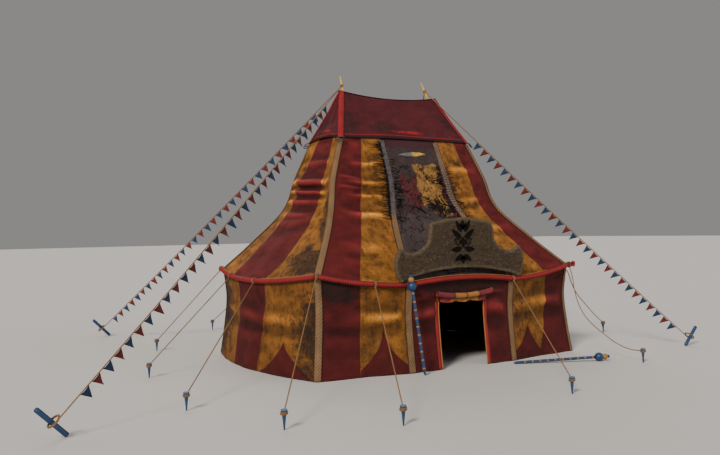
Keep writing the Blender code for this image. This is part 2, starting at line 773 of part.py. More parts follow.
def ring_mesh(name, middle, axis, pull):
    bpy.ops.mesh.primitive_torus_add(major_segments=16, minor_segments=8, location=(0, 0, 0),
                                     major_radius=RING_RADIUS, minor_radius=RING_WIRE)
    torus = bpy.context.object
    data = torus.data
    bpy.data.objects.remove(torus)
    data.name = name
    data.materials.clear()
    turn = Matrix((pull, axis.cross(pull), axis)).transposed()
    for vertex in data.vertices:
        vertex.co = turn @ vertex.co + middle
    return data


def add_bunting_line(line):
    mast, _, _, _, count, first, last = BUNTING[line]
    start = bunting_start(line)
    foot, head, pull = stake_of(line)
    reach = RING_RADIUS - RING_WIRE - STAKE_RADIUS - RING_CLEARANCE
    ring_middle = (foot + head) / 2 + pull * reach
    span = ring_middle + pull * RING_RADIUS - start
    along = span.normalized()
    side = along.cross(Vector((0, 0, 1))).normalized()
    above = side.cross(along)
    data = flat_mesh(line, bunting_outline(span.length, count, first, last), BUNTING_THICKNESS,
                     lambda s, rise, depth: start + along * s + above * rise + side * depth)
    data.flip_normals()
    flags = add_part(line, data, ROPE_TAN, 0.9)
    axis = (head - foot).normalized()
    ring = add_cutter(f"{line}_ring", ring_mesh(f"{line}_ring", ring_middle, axis, pull))
    combine(flags, ring, "UNION")
    combine(flags, bpy.data.objects[f"{mast}_room"], "DIFFERENCE")


clear_scene()
PARTS = collection_named("Circus big top")
CUTTERS = collection_named("Cutters")
TENT = bpy.data.objects.new("tent", None)
TENT.location = TENT_CENTRE
PARTS.objects.link(TENT)

add_roof_and_walls()
add_crown()
add_tapes()
add_masts()
add_crown_bands()
add_eave_roll()
add_door_flap()
add_sign()
add_poles()
add_guys()
add_slack_guys()
add_stakes()
for line_name in BUNTING:
    add_bunting_line(line_name)
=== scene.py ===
"""The looks of a circus big top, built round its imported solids: striped canvas with folds, soot and
a burnt bay, webbing over the seams, a ribbed eave roll, twisted ropes, pennants, a worn sign board
and painted poles. Metres, in the frame of the solids.
"""

import math
import random
from functools import lru_cache

import bmesh
import bpy
import numpy as np
from mathutils import Matrix, Vector, noise


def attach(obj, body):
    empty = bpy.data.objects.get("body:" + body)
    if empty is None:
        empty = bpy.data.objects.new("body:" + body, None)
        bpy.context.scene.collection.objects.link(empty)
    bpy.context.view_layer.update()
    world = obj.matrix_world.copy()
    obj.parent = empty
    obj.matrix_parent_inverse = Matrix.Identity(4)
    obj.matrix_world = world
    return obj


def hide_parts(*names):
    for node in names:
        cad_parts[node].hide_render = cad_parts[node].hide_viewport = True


bl_info = {
    "name": "Circus big top",
    "version": (1, 0, 0),
    "blender": (4, 5, 0),
    "location": "3D View > Sidebar > Big top",
    "description": "Dresses a circus big top with canvas, webbing, ropes, pennants and a sign",
    "category": "Object",
}

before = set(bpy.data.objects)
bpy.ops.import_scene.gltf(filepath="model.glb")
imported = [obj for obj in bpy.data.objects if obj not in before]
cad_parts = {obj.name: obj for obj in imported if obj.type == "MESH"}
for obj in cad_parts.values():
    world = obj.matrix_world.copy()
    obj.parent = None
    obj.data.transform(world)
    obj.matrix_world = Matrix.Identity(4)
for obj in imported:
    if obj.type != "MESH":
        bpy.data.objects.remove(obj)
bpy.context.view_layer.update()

# The shape of the tent, in the same named values as its solids

TENT_CENTRE = Vector((1.609, -0.945, 0.0))
EAVE_CORNER = Vector((4.862, 3.598, 3.0))
EAVE_MID = Vector((1.98, 4.01, 2.66))
ROOF_TOP_CORNER = Vector((2.6, 1.08, 7.29))
CROWN_EDGE = Vector((2.62, 1.11, 7.31))
RIDGE_END = Vector((1.97, 0.062, 9.03))
RIDGE_SAG = 0.16
CROWN_SIDE_LIFT = 0.05
CROWN_END_LIFT = 0.1
EAVE_LAP = 0.03
HEM_LIFT = 0.003
ROOF_FLARE = [(0, 0), (0.15, 0.095), (0.3, 0.185), (0.45, 0.25), (0.55, 0.33), (0.65, 0.46),
              (0.75, 0.61), (0.85, 0.76), (1, 1)]
INNER_SEAMS = {
    -1: (1.04, [(0, 0), (0.4, 0.04), (0.55, 0.2), (0.8, 0.63), (1, 1)]),
    1: (1.17, [(0, 0), (0.38, 0.17), (0.57, 0.55), (0.8, 0.84), (1, 1)]),
}
LEFT_HIP_BULGE = [(0, 0), (0.18, 0.09), (0.37, 0.16), (0.57, 0.11), (0.71, 0.05), (1, 0)]
TUCK_X, TUCK_Y = 0.9, 3.0
CROWN_FLARE = [(0, 0), (0.5, 0.47), (1, 1)]
WALL_FLARE = [(0, 0), (0.15, -0.045), (0.35, -0.08), (0.7, 0.0), (1, 0.1)]
SIDE_BAY = {"eave_bulge": 0.02, "base_bulge": -0.06, "sag": 0.0875}
CENTRE_BAY = {"eave_bulge": 0.0, "base_bulge": 0.0, "sag": -0.13}
END_BAY = {"eave_bulge": 0.44, "base_bulge": 0.7, "sag": 0.24}
SEAMS = [
    ("front_left_corner", -1, -1, False),
    ("door_left", -1, -1, True),
    ("door_right", 1, -1, True),
    ("front_right_corner", 1, -1, False),
    ("back_right_corner", 1, 1, False),
    ("back_inner_right", 1, 1, True),
    ("back_inner_left", -1, 1, True),
    ("back_left_corner", -1, 1, False),
]
BAYS = [
    ("front_left", SIDE_BAY),
    ("front_door", CENTRE_BAY),
    ("front_right", SIDE_BAY),
    ("right_end", END_BAY),
    ("back_right", SIDE_BAY),
    ("back_centre", CENTRE_BAY),
    ("back_left", SIDE_BAY),
    ("left_end", END_BAY),
]
CROWN_SIDES = ["front", "right_end", "back", "left_end"]
TAPE_HALF_WIDTH = 0.125
RIDGE_BAND_HALF_WIDTH = 0.085
RIDGE_BAND_OVERHANG = 0.03
BUCKLE_HALF_WIDTH, BUCKLE_HALF_HEIGHT = 0.15, 0.05
EAVE_ROLL_RADIUS = 0.07
EAVE_ROLL_OUT = 0.0828
EAVE_ROLL_DROP = 0.02
MAST_LEAN_FROM = 9.06
MASTS = {
    "left_mast": (-1.87, Vector((-1.95, 0, 9.54))),
    "right_mast": (1.67, Vector((1.41, 0, 9.58))),
}
DOOR_LEFT, DOOR_RIGHT, DOOR_HEIGHT = -0.86, 0.87, 2.05
FLAP_RADIUS = 0.1
FLAP_Y = -4.0672
FLAP_ROUTE = [(-0.99, 2.3), (-0.72, 2.25), (-0.3, 2.215), (0.15, 2.205), (0.6, 2.235),
              (0.92, 2.27), (1.13, 2.32)]
FLAP_TIES = (0.29, 0.52, 0.75)
FLAP_POINTS = 70
FLAP_TURNS = 2.6
FLAP_CORE = 0.028
SWAG_SPARE = 0.02
SWAG_TOP = 2.16
DOOR_BAND_EDGES = (0.035, 0.09, 0.15)
SIGN_THICKNESS = 0.14
SIGN_Y = -4.085
SIGN_X = -0.05
SIGN_FOOT_Z = 2.7188
SIGN_HALF = [(0, 3.06), (0.75, 3.03), (1.4, 2.94), (1.95, 2.83), (2.2, SIGN_FOOT_Z),
             (2.3, SIGN_FOOT_Z), (2.42, 2.86), (2.5, 3.2), (2.45, 3.5), (2.32, 3.71),
             (2.2, 3.68), (2.05, 3.585), (1.85, 3.57), (1.6, 3.64), (1.4, 3.78),
             (1.27, 3.98), (1.24, 4.2), (1.2, 4.42), (1.12, 4.49), (0.85, 4.54),
             (0.45, 4.61), (0, 4.63)]
POLE_LENGTH = 2.98
POLE_SHAFT = 0.045
POLE_POINT = 0.1
POLE_POINT_RADIUS = 0.012
POLE_BALLS = [(2.625, 0.14), (2.815, 0.095), (2.925, 0.055)]
STANDING_POLE_FOOT = Vector((-1.86, -4.57, 0.00163))
STANDING_POLE_BALL = Vector((-2.075, -4.2827, 2.617))
LYING_POLE_FOOT = Vector((1.506, -4.605, 0))
LYING_POLE_HEAD = Vector((4.033, -5.773, 0))
LYING_POLE_LENGTH = 3.14
PEG_HEIGHT = 0.45
PEG_RADIUS = 0.075
PEG_OUTLINE = [(0.21, 0.0), (0.38, 0.3), (0.55, 0.6), (0.74, 0.77), (0.86, 0.86), (0.97, 0.875),
               (1.0, 0.89), (1.0, 0.985), (0.93, 1.0), (0.62, 1.0), (0.55, 0.975), (0.0, 0.97)]
ROPE_ON_PEG = 0.84
GUYS = {
    "front_left_corner": (0, 0.0, (-8.08, -8.09)),
    "front_left": (0, 0.6, (-5.76, -9.24)),
    "door_right": (2, 0.0, (-0.36, -8.93)),
    "right_end_rear": (3, 0.72, (9.3, 2.6)),
    "back_right_corner": (4, 0.0, (7.7, 7.9)),
    "back_inner": (5, 0.0, (-0.36, 8.93)),
    "back_left": (6, 0.4, (-2.9, 10.09)),
    "back_left_corner": (7, 0.0, (-6.86, 5.21)),
    "left_end_rear": (7, 0.235, (-8.68, -0.07)),
    "left_end_front": (7, 0.55, (-9.21, -5.00)),
}
SLACK_GUYS = {
    "front_right_corner": (3, 0.0, (4.9, -6.77), [
        (4.965, -3.76, 2.6), (4.965, -3.86, 2.11), (4.955, -4.04, 1.66), (4.945, -4.31, 1.29),
        (4.935, -4.72, 0.98), (4.93, -5.18, 0.73), (4.92, -5.6, 0.53), (4.91, -6.02, 0.4),
        (4.905, -6.42, 0.355)]),
    "right_end_front": (3, 0.06, (9.56, -0.89), [
        (5.25, -3.26, 2.7), (5.6, -3.07, 2.34), (5.98, -2.86, 2.02), (6.45, -2.6, 1.74),
        (7.17, -2.21, 1.4), (7.95, -1.78, 1.04), (8.65, -1.4, 0.74), (9.17, -1.12, 0.53)]),
}
BUNTING = {
    "front_left_bunting": (
        "left_mast", 9.21, (-12.164, -6.011, 0), (-12.809, -6.144, 0.657), 33, 0.089, 0.96),
    "back_left_bunting": (
        "left_mast", 9.21, (-7.186, 10.811, 0), (-7.861, 10.794, 0.682), 33, 0.093, 0.95),
    "front_right_bunting": (
        "right_mast", 9.27, (8.854, -5.302, 0), (9.416, -5.311, 0.61), 29, 0.208, 0.972),
    "back_right_bunting": (
        "right_mast", 9.27, (7.00, 10.7, 0), (7.48, 11.15, 0.66), 31, 0.208, 0.965),
}
BUNTING_SAG = 0.05
BUNTING_ROPE_WIDTH = 0.036
PENNANT_WIDTH_SHARE = 0.74
PENNANT_DROP = 0.3
PENNANT_POINT = 0.28
STAKE_RADIUS = 0.06
RING_RADIUS = 0.15
RING_WIRE = 0.03
RING_TURN = math.radians(-70)

# The camera of the photograph: place, turn to the right, tilt and roll, and its lens

CAMERA_PLACE = (-13.967, -24.91, 4.276)
CAMERA_YAW = math.radians(30.85)
CAMERA_PITCH = math.radians(0.2035)
CAMERA_ROLL = -0.017
CAMERA_LENS = 40.47
CAMERA_SENSOR = 36

# Sun lamps: name, place to shine from, spread in degrees, strength and colour
LIGHTS = [
    ("key", (-30, -20, 27), 14, 3.1, (1.0, 0.94, 0.86)),
    ("fill", (24, -30, 16), 50, 0.7, (0.9, 0.94, 1.0)),
    ("rim", (10, 30, 26), 35, 0.8, (1.0, 0.97, 0.94)),
]
LIGHTS_AIM = Vector((0, 0, 3))
SKY_COLOUR = (0.62, 0.61, 0.6, 1)
SKY_STRENGTH = 0.42
FLOOR_REACH = 260

# Stripes: whether a panel starts yellow on its left, and where each change lies across it, as
# numbers a, b and c of a + b * down + c * down**2. A spike is a red point that splits a yellow
# stripe into two teeth: its tip across and down, its feet on both sides, how far down they are, and
# how much its sides curve.

ROOF_STRIPES = {
    "left": (False, [(0.504, -0.085, 0.038)], None),
    "centre": (False, [(0.32, 0.0, 0.0), (0.68, 0.0, 0.0)], None),
    "right": (True, [(0.59, 0.053, -0.05)], None),
    "left_end": (True, [(0.294, -0.184, 0.132), (0.775, 0.257, -0.422)], None),
    "right_end": (True, [(0.225, -0.257, 0.422), (0.706, 0.184, -0.132)], None),
}
WALL_STRIPES = {
    "left": (False, [(0.455, 0.0, 0.0)], (0.71, 0.38, 0.455, 1.0, 0.93, 2.4)),
    "centre": (False, [(0.32, 0.0, 0.0), (0.68, 0.0, 0.0)], (0.5, 0.45, 0.32, 0.68, 0.95, 2.0)),
    "door": (False, [(0.262, 0.0, 0.0), (0.742, 0.0, 0.0)], None),
    "right": (True, [(0.593, 0.224, -0.366)], (0.3, 0.57, 0.0, 0.5, 0.93, 1.4)),
    "left_end": (True, [(0.316, 0.07, 0.0), (0.625, 0.0, 0.0)], (0.8, 0.6, 0.65, 0.97, 0.98, 1.7)),
    "right_end": (True, [(0.375, 0.0, 0.0), (0.684, -0.07, 0.0)], (0.2, 0.6, 0.03, 0.35, 0.98, 1.7)),
}
BAY_KINDS = ["left", "centre", "right", "right_end", "left", "centre", "right", "left_end"]

# Folds that stand out of a roof panel: across, half width, down, thickness, height, tilt.
ROOF_FOLDS = {
    "left_end": [(0.45, 0.52, 0.325, 0.022, 0.17, 0.02), (0.45, 0.5, 0.363, 0.012, -0.08, 0.03),
                 (0.42, 0.5, 0.397, 0.015, 0.13, 0.04), (0.45, 0.48, 0.432, 0.014, -0.04, 0.03),
                 (0.45, 0.48, 0.47, 0.018, 0.1, 0.03), (0.42, 0.45, 0.565, 0.022, 0.07, 0.02),
                 (0.5, 0.45, 0.62, 0.03, 0.05, 0.0), (0.5, 0.5, 0.17, 0.02, 0.05, 0.02)],
    "front_left": [(0.62, 0.36, 0.187, 0.016, 0.075, 0.0), (0.6, 0.4, 0.335, 0.017, 0.095, 0.01),
                   (0.6, 0.38, 0.43, 0.014, 0.07, -0.01), (0.58, 0.42, 0.565, 0.02, 0.085, 0.02),
                   (0.3, 0.28, 0.3, 0.012, 0.05, 0.03), (0.32, 0.3, 0.375, 0.012, 0.05, 0.02),
                   (0.5, 0.4, 0.78, 0.03, 0.03, 0.0)],
    "front_right": [(0.45, 0.4, 0.22, 0.022, 0.04, 0.02), (0.4, 0.4, 0.45, 0.022, 0.05, -0.02),
                    (0.5, 0.45, 0.66, 0.03, 0.04, 0.02)],
}
# Painted light and shade of the folds: how far a fold stands out over the rows around it for its full
# painted highlight, and the range of that painted light and shade
FOLD_HIGHLIGHT_HEIGHT = 0.045
FOLD_LIGHT_AND_SHADE_RANGE = (-0.3, 1.3)

# Black veins over the burnt bay: where each starts across and down, its heading and its steps
VEIN_ROOTS = [(0.62, 0.6, 1.7, 26), (0.68, 0.6, 1.3, 24), (0.55, 0.58, 2.0, 20),
              (0.05, 0.36, 0.1, 18), (0.05, 0.5, 0.4, 20), (0.05, 0.24, -0.3, 14),
              (0.95, 0.34, 3.0, 14), (0.95, 0.5, 2.8, 18), (0.3, 0.62, 1.2, 16),
              (0.2, 0.2, -0.6, 12)]
FRONT_OUT = Vector((0.0, -0.86, 0.5))
OTHER_ROOF_FOLDS = [(0.5, 0.45, 0.25, 0.024, 0.05, 0.02), (0.45, 0.42, 0.42, 0.022, 0.05, -0.02),
                    (0.55, 0.42, 0.62, 0.028, 0.04, 0.01)]

# Soot and painted shade: part of the tent, then across, down, reach across, reach down and strength of each
# patch.
SOOT_AND_SHADE = {
    "left_end_wall": [(1.0, 0.55, 0.17, 0.55, 1.0), (0.0, 0.5, 0.28, 0.8, 1.0),
                      (0.9, 0.45, 0.12, 0.2, 0.75), (0.5, 1.02, 0.6, 0.09, 0.5)],
    # On the left end's roof, the last patch is a thin painted shade along the hollow of the fold at down
    # 0.363
    "left_end_roof": [(1.0, 0.62, 0.12, 0.34, 0.9), (0.9, 0.89, 0.2, 0.13, 1.0),
                      (0.0, 0.75, 0.2, 0.25, 0.6), (0.55, 0.363, 0.5, 0.01, 0.6)],
    # The patch at down 0.06 darkens the top of this wall just under the eave roll
    "front_left_wall": [(0.0, 0.5, 0.07, 0.5, 0.7), (0.2, 0.06, 0.36, 0.22, 1.0),
                        (0.5, 1.02, 0.6, 0.07, 0.45)],
    "front_left_roof": [(1.0, 0.37, 0.12, 0.24, 0.85), (1.0, 0.06, 0.16, 0.07, 0.7),
                        (0.0, 0.5, 0.06, 0.4, 0.4)],
    "front_right_roof": [(0.0, 0.38, 0.26, 0.24, 0.65), (0.12, 0.6, 0.2, 0.1, 0.55)],
    "front_right_wall": [(1.0, 0.6, 0.12, 0.5, 0.6), (0.12, 0.45, 0.14, 0.4, 0.55),
                         (0.3, 1.02, 0.5, 0.08, 0.45)],
    # The patch at down 0.06 darkens the top of this wall just under the eave roll
    "front_door_wall": [(0.5, 0.06, 0.6, 0.16, 0.85), (0.12, 0.95, 0.12, 0.2, 0.45),
                        (0.9, 0.5, 0.06, 0.6, 0.5)],
}
OTHER_SOOT = [(0.0, 0.6, 0.1, 0.4, 0.6), (1.0, 0.6, 0.1, 0.4, 0.6), (0.5, 1.02, 0.6, 0.08, 0.4)]
CROWN_SOOT = [(0.0, 0.7, 0.2, 0.4, 0.5), (1.0, 0.6, 0.15, 0.4, 0.5), (0.35, 0.75, 0.16, 0.2, 0.5)]

# Canvas: how near its edge lies to a seam, how far a roof panel goes on under the crown, the
# doorway's sides across the front wall, and where the stripes beside the doorway start
SEAM_GAP = 0.003
ROOF_TUCK = -0.03
DOOR_SIDES = (0.2828, 0.7197)
DOOR_STRIPES_FROM = 0.2
# How much darker the walls' canvas is painted than the same canvas on the roof: painted shade over the
# walls
WALL_SHADE = 0.7
CLEAR_OF_FLOOR = 0.002
WEBBING_THICKNESS = 0.008
FRINGE_PITCH = 0.045

# Yellow piping above the eave roll: the bay, and where the piping starts and ends along it
YELLOW_PIPING = [(0, 0.46, 1.0), (1, 0.0, 1.0), (2, 0.0, 0.6), (7, 0.61, 1.0), (7, 0.0, 0.24)]

UP = Vector((0, 0, 1))
once = lru_cache(maxsize=None)


# Settings


def tint(name, description, colour):
    return bpy.props.FloatVectorProperty(
        name=name, description=description, subtype="COLOR", default=colour, min=0, max=1)


def size(name, description, metres, low=0.001, high=1.0):
    return bpy.props.FloatProperty(
        name=name, description=description, subtype="DISTANCE", unit="LENGTH", default=metres,
        min=low, max=high)


def share_of(name, description, value):
    return bpy.props.FloatProperty(
        name=name, description=description, subtype="FACTOR", default=value, min=0, max=1)


class BigTopCanvas(bpy.types.PropertyGroup):
    red: tint("Red", "The canvas's dark red stripes", (0.12, 0.012, 0.013))
    yellow: tint("Yellow", "The canvas's golden yellow stripes", (0.33, 0.13, 0.021))
    maroon: tint("Crown", "The faded canvas of the crown", (0.085, 0.01, 0.014))
    grime: share_of("Grime", "How much of the canvas is stained brown", 0.8)
    thickness: size("Thickness", "Thickness of the cloth", 0.006, 0.001, 0.012)
    fold_height: bpy.props.FloatProperty(
        name="Folds", description="Height of the folds, as a share of the usual", subtype="FACTOR",
        default=1.0, min=0, max=2)


class BigTopTrim(bpy.types.PropertyGroup):
    red: tint("Red", "The crown's bands and the eave roll", (0.27, 0.009, 0.012))
    tan: tint("Tan", "The webbing over the seams", (0.27, 0.155, 0.075))
    dark: tint("Edges", "The dark edges of the webbing", (0.025, 0.015, 0.01))
    stitch_pitch: size("Stitch pitch", "From one stitch to the next", 0.09)
    stitch_length: size("Stitch length", "Length of one stitch", 0.05)
    rib_pitch: size("Rib pitch", "From one rib of the eave roll to the next", 0.075)
    rib_height: size("Rib height", "How far the ribs of the eave roll stand out", 0.014)


class BigTopRopes(bpy.types.PropertyGroup):
    tan: tint("Rope", "Colour of the ropes", (0.25, 0.135, 0.055))
    turns: bpy.props.FloatProperty(
        name="Turns", description="Turns of the strands in a metre of rope", default=7.0, min=1, max=30)
    blue_flag: tint("Blue pennants", "Colour of every other pennant", (0.01, 0.028, 0.075))
    red_flag: tint("Red pennants", "Colour of the pennants between", (0.115, 0.012, 0.012))


class BigTopPaint(bpy.types.PropertyGroup):
    blue: tint("Blue", "Paint of the poles, pegs and stakes", (0.01, 0.045, 0.125))
    gold: tint("Gold", "Bands and middle balls of the poles", (0.3, 0.155, 0.035))
    band_pitch: size("Band pitch", "From one gold band of a pole to the next", 0.245)
    band_width: size("Band width", "Width of a gold band", 0.05)


class BigTopSign(bpy.types.PropertyGroup):
    wood: tint("Wood", "The weathered face of the board", (0.052, 0.034, 0.02))
    edge: tint("Edge", "The worn edge of the board", (0.135, 0.1, 0.06))
    ornament: tint("Ornament", "The dark painted ornament", (0.006, 0.005, 0.004))
    edge_radius: size("Edge radius", "How round the worn edge is", 0.05)


class BigTopStage(bpy.types.PropertyGroup):
    floor: tint("Floor", "Colour of the floor", (0.62, 0.6, 0.58))
    light: bpy.props.FloatProperty(
        name="Light", description="Strength of the lights, as a share of the usual",
        subtype="FACTOR", default=1.0, min=0, max=3)


class BigTopSettings(bpy.types.PropertyGroup):
    canvas: bpy.props.PointerProperty(name="Canvas", description="Canvas", type=BigTopCanvas)
    trim: bpy.props.PointerProperty(name="Trim", description="Webbing and bands", type=BigTopTrim)
    ropes: bpy.props.PointerProperty(name="Ropes", description="Ropes and pennants", type=BigTopRopes)
    paint: bpy.props.PointerProperty(name="Paint", description="Painted pieces", type=BigTopPaint)
    sign: bpy.props.PointerProperty(name="Sign", description="Sign board", type=BigTopSign)
    stage: bpy.props.PointerProperty(name="Stage", description="Floor and lights", type=BigTopStage)


def settings():
    return bpy.context.scene.big_top


# Nodes


def sum_of(operation, reflected=False):
    """A Python operator that adds a Math node."""

    def apply(self, *others):
        values = (self, *others)
        return self.nodes.math(operation, *(values[::-1] if reflected else values))

    return apply


class Value:
    """A number in a node tree. Sums on it add Math nodes."""

    def __init__(self, nodes, socket):
        self.nodes = nodes
        self.socket = socket

    __add__ = __radd__ = sum_of("ADD")
    __sub__ = sum_of("SUBTRACT")
    __rsub__ = sum_of("SUBTRACT", reflected=True)
    __mul__ = __rmul__ = sum_of("MULTIPLY")
    __truediv__ = sum_of("DIVIDE")
    __pow__ = sum_of("POWER")
    __abs__ = sum_of("ABSOLUTE")

    def clamped(self):
        return self.nodes.value("ShaderNodeClamp", 0, None, {0: self})


class Nodes:
    """Adds nodes to one tree."""

    def __init__(self, tree):
        self.tree = tree

    def add(self, kind, choices=None, inputs=None):
        """A node of this type, with its choices made first and then its sockets fed."""
        node = self.tree.nodes.new(kind)
        for name, choice in (choices or {}).items():
            if name != "stops":
                setattr(node, name, choice)
                continue
            ramp = node.color_ramp.elements
            while len(ramp) < len(choice):
                ramp.new(0.5)
            for stop, (position, colour) in zip(ramp, choice):
                stop.position = position
                stop.color = (*colour, 1)
        for key, fed in (inputs or {}).items():
            self.feed(node.inputs[key], fed)
        return node

    def feed(self, socket, fed):
        if isinstance(fed, Value):
            fed = fed.socket
        if isinstance(fed, bpy.types.NodeSocket):
            self.tree.links.new(fed, socket)
        else:
            socket.default_value = fed

    def value(self, kind, output, choices=None, inputs=None):
        return Value(self, self.add(kind, choices, inputs).outputs[output])

    def math(self, operation, *values):
        return self.value("ShaderNodeMath", 0, {"operation": operation}, dict(enumerate(values)))

    def vector(self, operation, *vectors, scale=None):
        inputs = dict(enumerate(vectors))
        if scale is not None:
            inputs[3] = scale
        output = 1 if operation in ("LENGTH", "DOT_PRODUCT", "DISTANCE") else 0
        return self.add("ShaderNodeVectorMath", {"operation": operation}, inputs).outputs[output]


class Finish(Nodes):
    """A material, with the nodes that colour it."""

    def __init__(self, name):
        self.material = bpy.data.materials.new(name)
        self.material.use_nodes = True
        super().__init__(self.material.node_tree)
        self.shader = self.tree.nodes["Principled BSDF"]
        places = self.add("ShaderNodeTexCoord")
        self.place = places.outputs["Object"]
        self.uv = places.outputs["UV"]

    def stretched(self, scale):
        return self.add("ShaderNodeMapping", {"vector_type": "POINT"},
                        {"Vector": self.place, "Scale": scale}).outputs[0]

    def noise(self, scale, detail=3.0, roughness=0.55, at=None):
        return self.value("ShaderNodeTexNoise", "Fac", None, {
            "Vector": at or self.place, "Scale": scale, "Detail": detail, "Roughness": roughness})

    def grain(self, scale, detail, roughness):
        """Noise that is drawn out along the axes."""
        return self.noise(1.0, detail, roughness, self.stretched(scale))

    def flecks(self, noise, above, gain):
        """Patches where a noise rises above a level, with soft or sharp edges."""
        return ((noise - above) * gain).clamped()

    def cells(self, scale):
        return self.value("ShaderNodeTexVoronoi", 0, {"feature": "DISTANCE_TO_EDGE"},
                          {"Vector": self.place, "Scale": scale})

    def painted(self, name):
        """A number that is painted on the piece's points."""
        return Value(self, self.attribute(name, "Fac"))

    def attribute(self, name, output):
        return self.add("ShaderNodeAttribute", {"attribute_name": name}).outputs[output]

    def axis(self, vector, axis):
        return self.value("ShaderNodeSeparateXYZ", axis, None, {0: vector})

    def mixed(self, share, first, second):
        first, second = [(*c[:3], 1) if isinstance(c, (tuple, list)) else c for c in (first, second)]
        return self.add("ShaderNodeMix", {"data_type": "RGBA"},
                        {0: share, 6: first, 7: second}).outputs[2]

    def step(self, value, start, width):
        """0 below start, 1 above start + width."""
        return ((value - start) / width).clamped()

    def shaded(self, colour, factor):
        """The colour made darker or lighter by a factor."""
        return self.vector("SCALE", colour, scale=factor)

    def bump(self, height, strength, distance, below=None):
        inputs = {"Strength": strength, "Distance": distance, "Height": height}
        if below is not None:
            inputs["Normal"] = below
        return self.add("ShaderNodeBump", None, inputs).outputs[0]

    def done(self, colour, roughness, normal=None, **constants):
        self.feed(self.shader.inputs["Base Color"], colour)
        self.feed(self.shader.inputs["Roughness"], roughness)
        if normal is not None:
            self.feed(self.shader.inputs["Normal"], normal)
        for name, value in constants.items():
            self.shader.inputs[name.replace("_", " ")].default_value = value
        return self.material


class Growth(Nodes):
    """A Geometry Nodes tree with named inputs, from a guide to a finished mesh."""

    def __init__(self, name, inputs):
        super().__init__(bpy.data.node_groups.new(name, "GeometryNodeTree"))
        face = self.tree.interface
        face.new_socket("Guide", in_out="INPUT", socket_type="NodeSocketGeometry")
        for label, usual in inputs.items():
            kind = "NodeSocketInt" if isinstance(usual, int) else "NodeSocketFloat"
            face.new_socket(label, in_out="INPUT", socket_type=kind).default_value = usual
        face.new_socket("Finish", in_out="INPUT", socket_type="NodeSocketMaterial")
        face.new_socket("Mesh", in_out="OUTPUT", socket_type="NodeSocketGeometry")
        self.entry = self.add("NodeGroupInput")
        self.guide = self.entry.outputs["Guide"]

    def given(self, label):
        return Value(self, self.entry.outputs[label])

    def line(self, step=None):
        """The guide's line as a curve, cut into even steps."""
        curve = self.add("GeometryNodeMeshToCurve", None, {"Mesh": self.guide}).outputs[0]
        if step is None:
            return curve
        return self.add("GeometryNodeResampleCurve", {"mode": "LENGTH"},
                        {"Curve": curve, "Length": step}).outputs[0]

    def swept(self, line, radius, **more):
        """A tube round a line, with this input as its radius."""
        circle = self.add("GeometryNodeCurvePrimitiveCircle", {"mode": "RADIUS"}, {
            "Resolution": self.given("Sides"), "Radius": self.given(radius)}).outputs[0]
        inputs = {"Curve": line, "Profile Curve": circle}
        inputs.update({name.replace("_", " "): value for name, value in more.items()})
        return self.add("GeometryNodeCurveToMesh", None, inputs).outputs[0]

    def stored(self, name, kind="FLOAT"):
        """What the guide says at each of its points."""
        return self.add("GeometryNodeInputNamedAttribute", {"data_type": kind}, {"Name": name}).outputs[0]

    def finish(self, geometry):
        real = self.add("GeometryNodeRealizeInstances", None, {"Geometry": geometry})
        dressed = self.add("GeometryNodeSetMaterial", None, {
            "Geometry": real.outputs[0], "Material": self.entry.outputs["Finish"]})
        self.add("NodeGroupOutput", None, {0: dressed.outputs[0]})
        return self.tree


def rope_growth():
    """Three strands twisted round the guide's line."""
    tree = Growth("Twisted rope", {"Lay radius": 0.0095, "Strand radius": 0.0085,
                                   "Turns": 7.0, "Step": 0.022, "Sides": 5})
    line = tree.line(tree.given("Step"))
    along = tree.value("GeometryNodeSplineParameter", "Length")
    normal = tree.add("GeometryNodeInputNormal").outputs[0]
    tangent = tree.add("GeometryNodeInputTangent").outputs[0]
    side = tree.vector("CROSS_PRODUCT", tangent, normal)
    strands = tree.add("GeometryNodeJoinGeometry")
    for strand in range(3):
        turn = (along * tree.given("Turns") + strand / 3) * (2 * math.pi)
        out = tree.vector("SCALE", normal, scale=tree.math("COSINE", turn) * tree.given("Lay radius"))
        over = tree.vector("SCALE", side, scale=tree.math("SINE", turn) * tree.given("Lay radius"))
        moved = tree.add("GeometryNodeSetPosition", None, {
            "Geometry": line, "Offset": tree.vector("ADD", out, over)}).outputs[0]
        tree.feed(strands.inputs[0], tree.swept(moved, "Strand radius", Fill_Caps=True))
    return tree.finish(strands.outputs[0])


def ribbed_growth():
    """A roll round the guide's line, with ribs across it."""
    tree = Growth("Ribbed roll", {"Radius": 0.07, "Rib height": 0.007, "Rib pitch": 0.075, "Sides": 16})
    line = tree.line(tree.given("Rib pitch") / 6)
    along = tree.value("GeometryNodeSplineParameter", "Length")
    wave = tree.math("SINE", along / tree.given("Rib pitch") * (2 * math.pi))
    grown = 1 + wave * (tree.given("Rib height") / tree.given("Radius")) / 2
    # The rib wave is kept on the points for the painted shade between the ribs
    line = tree.add("GeometryNodeStoreNamedAttribute", {"data_type": "FLOAT", "domain": "POINT"},
                    {"Geometry": line, "Name": "rib", "Value": wave}).outputs[0]
    return tree.finish(tree.swept(line, "Radius", Scale=grown))


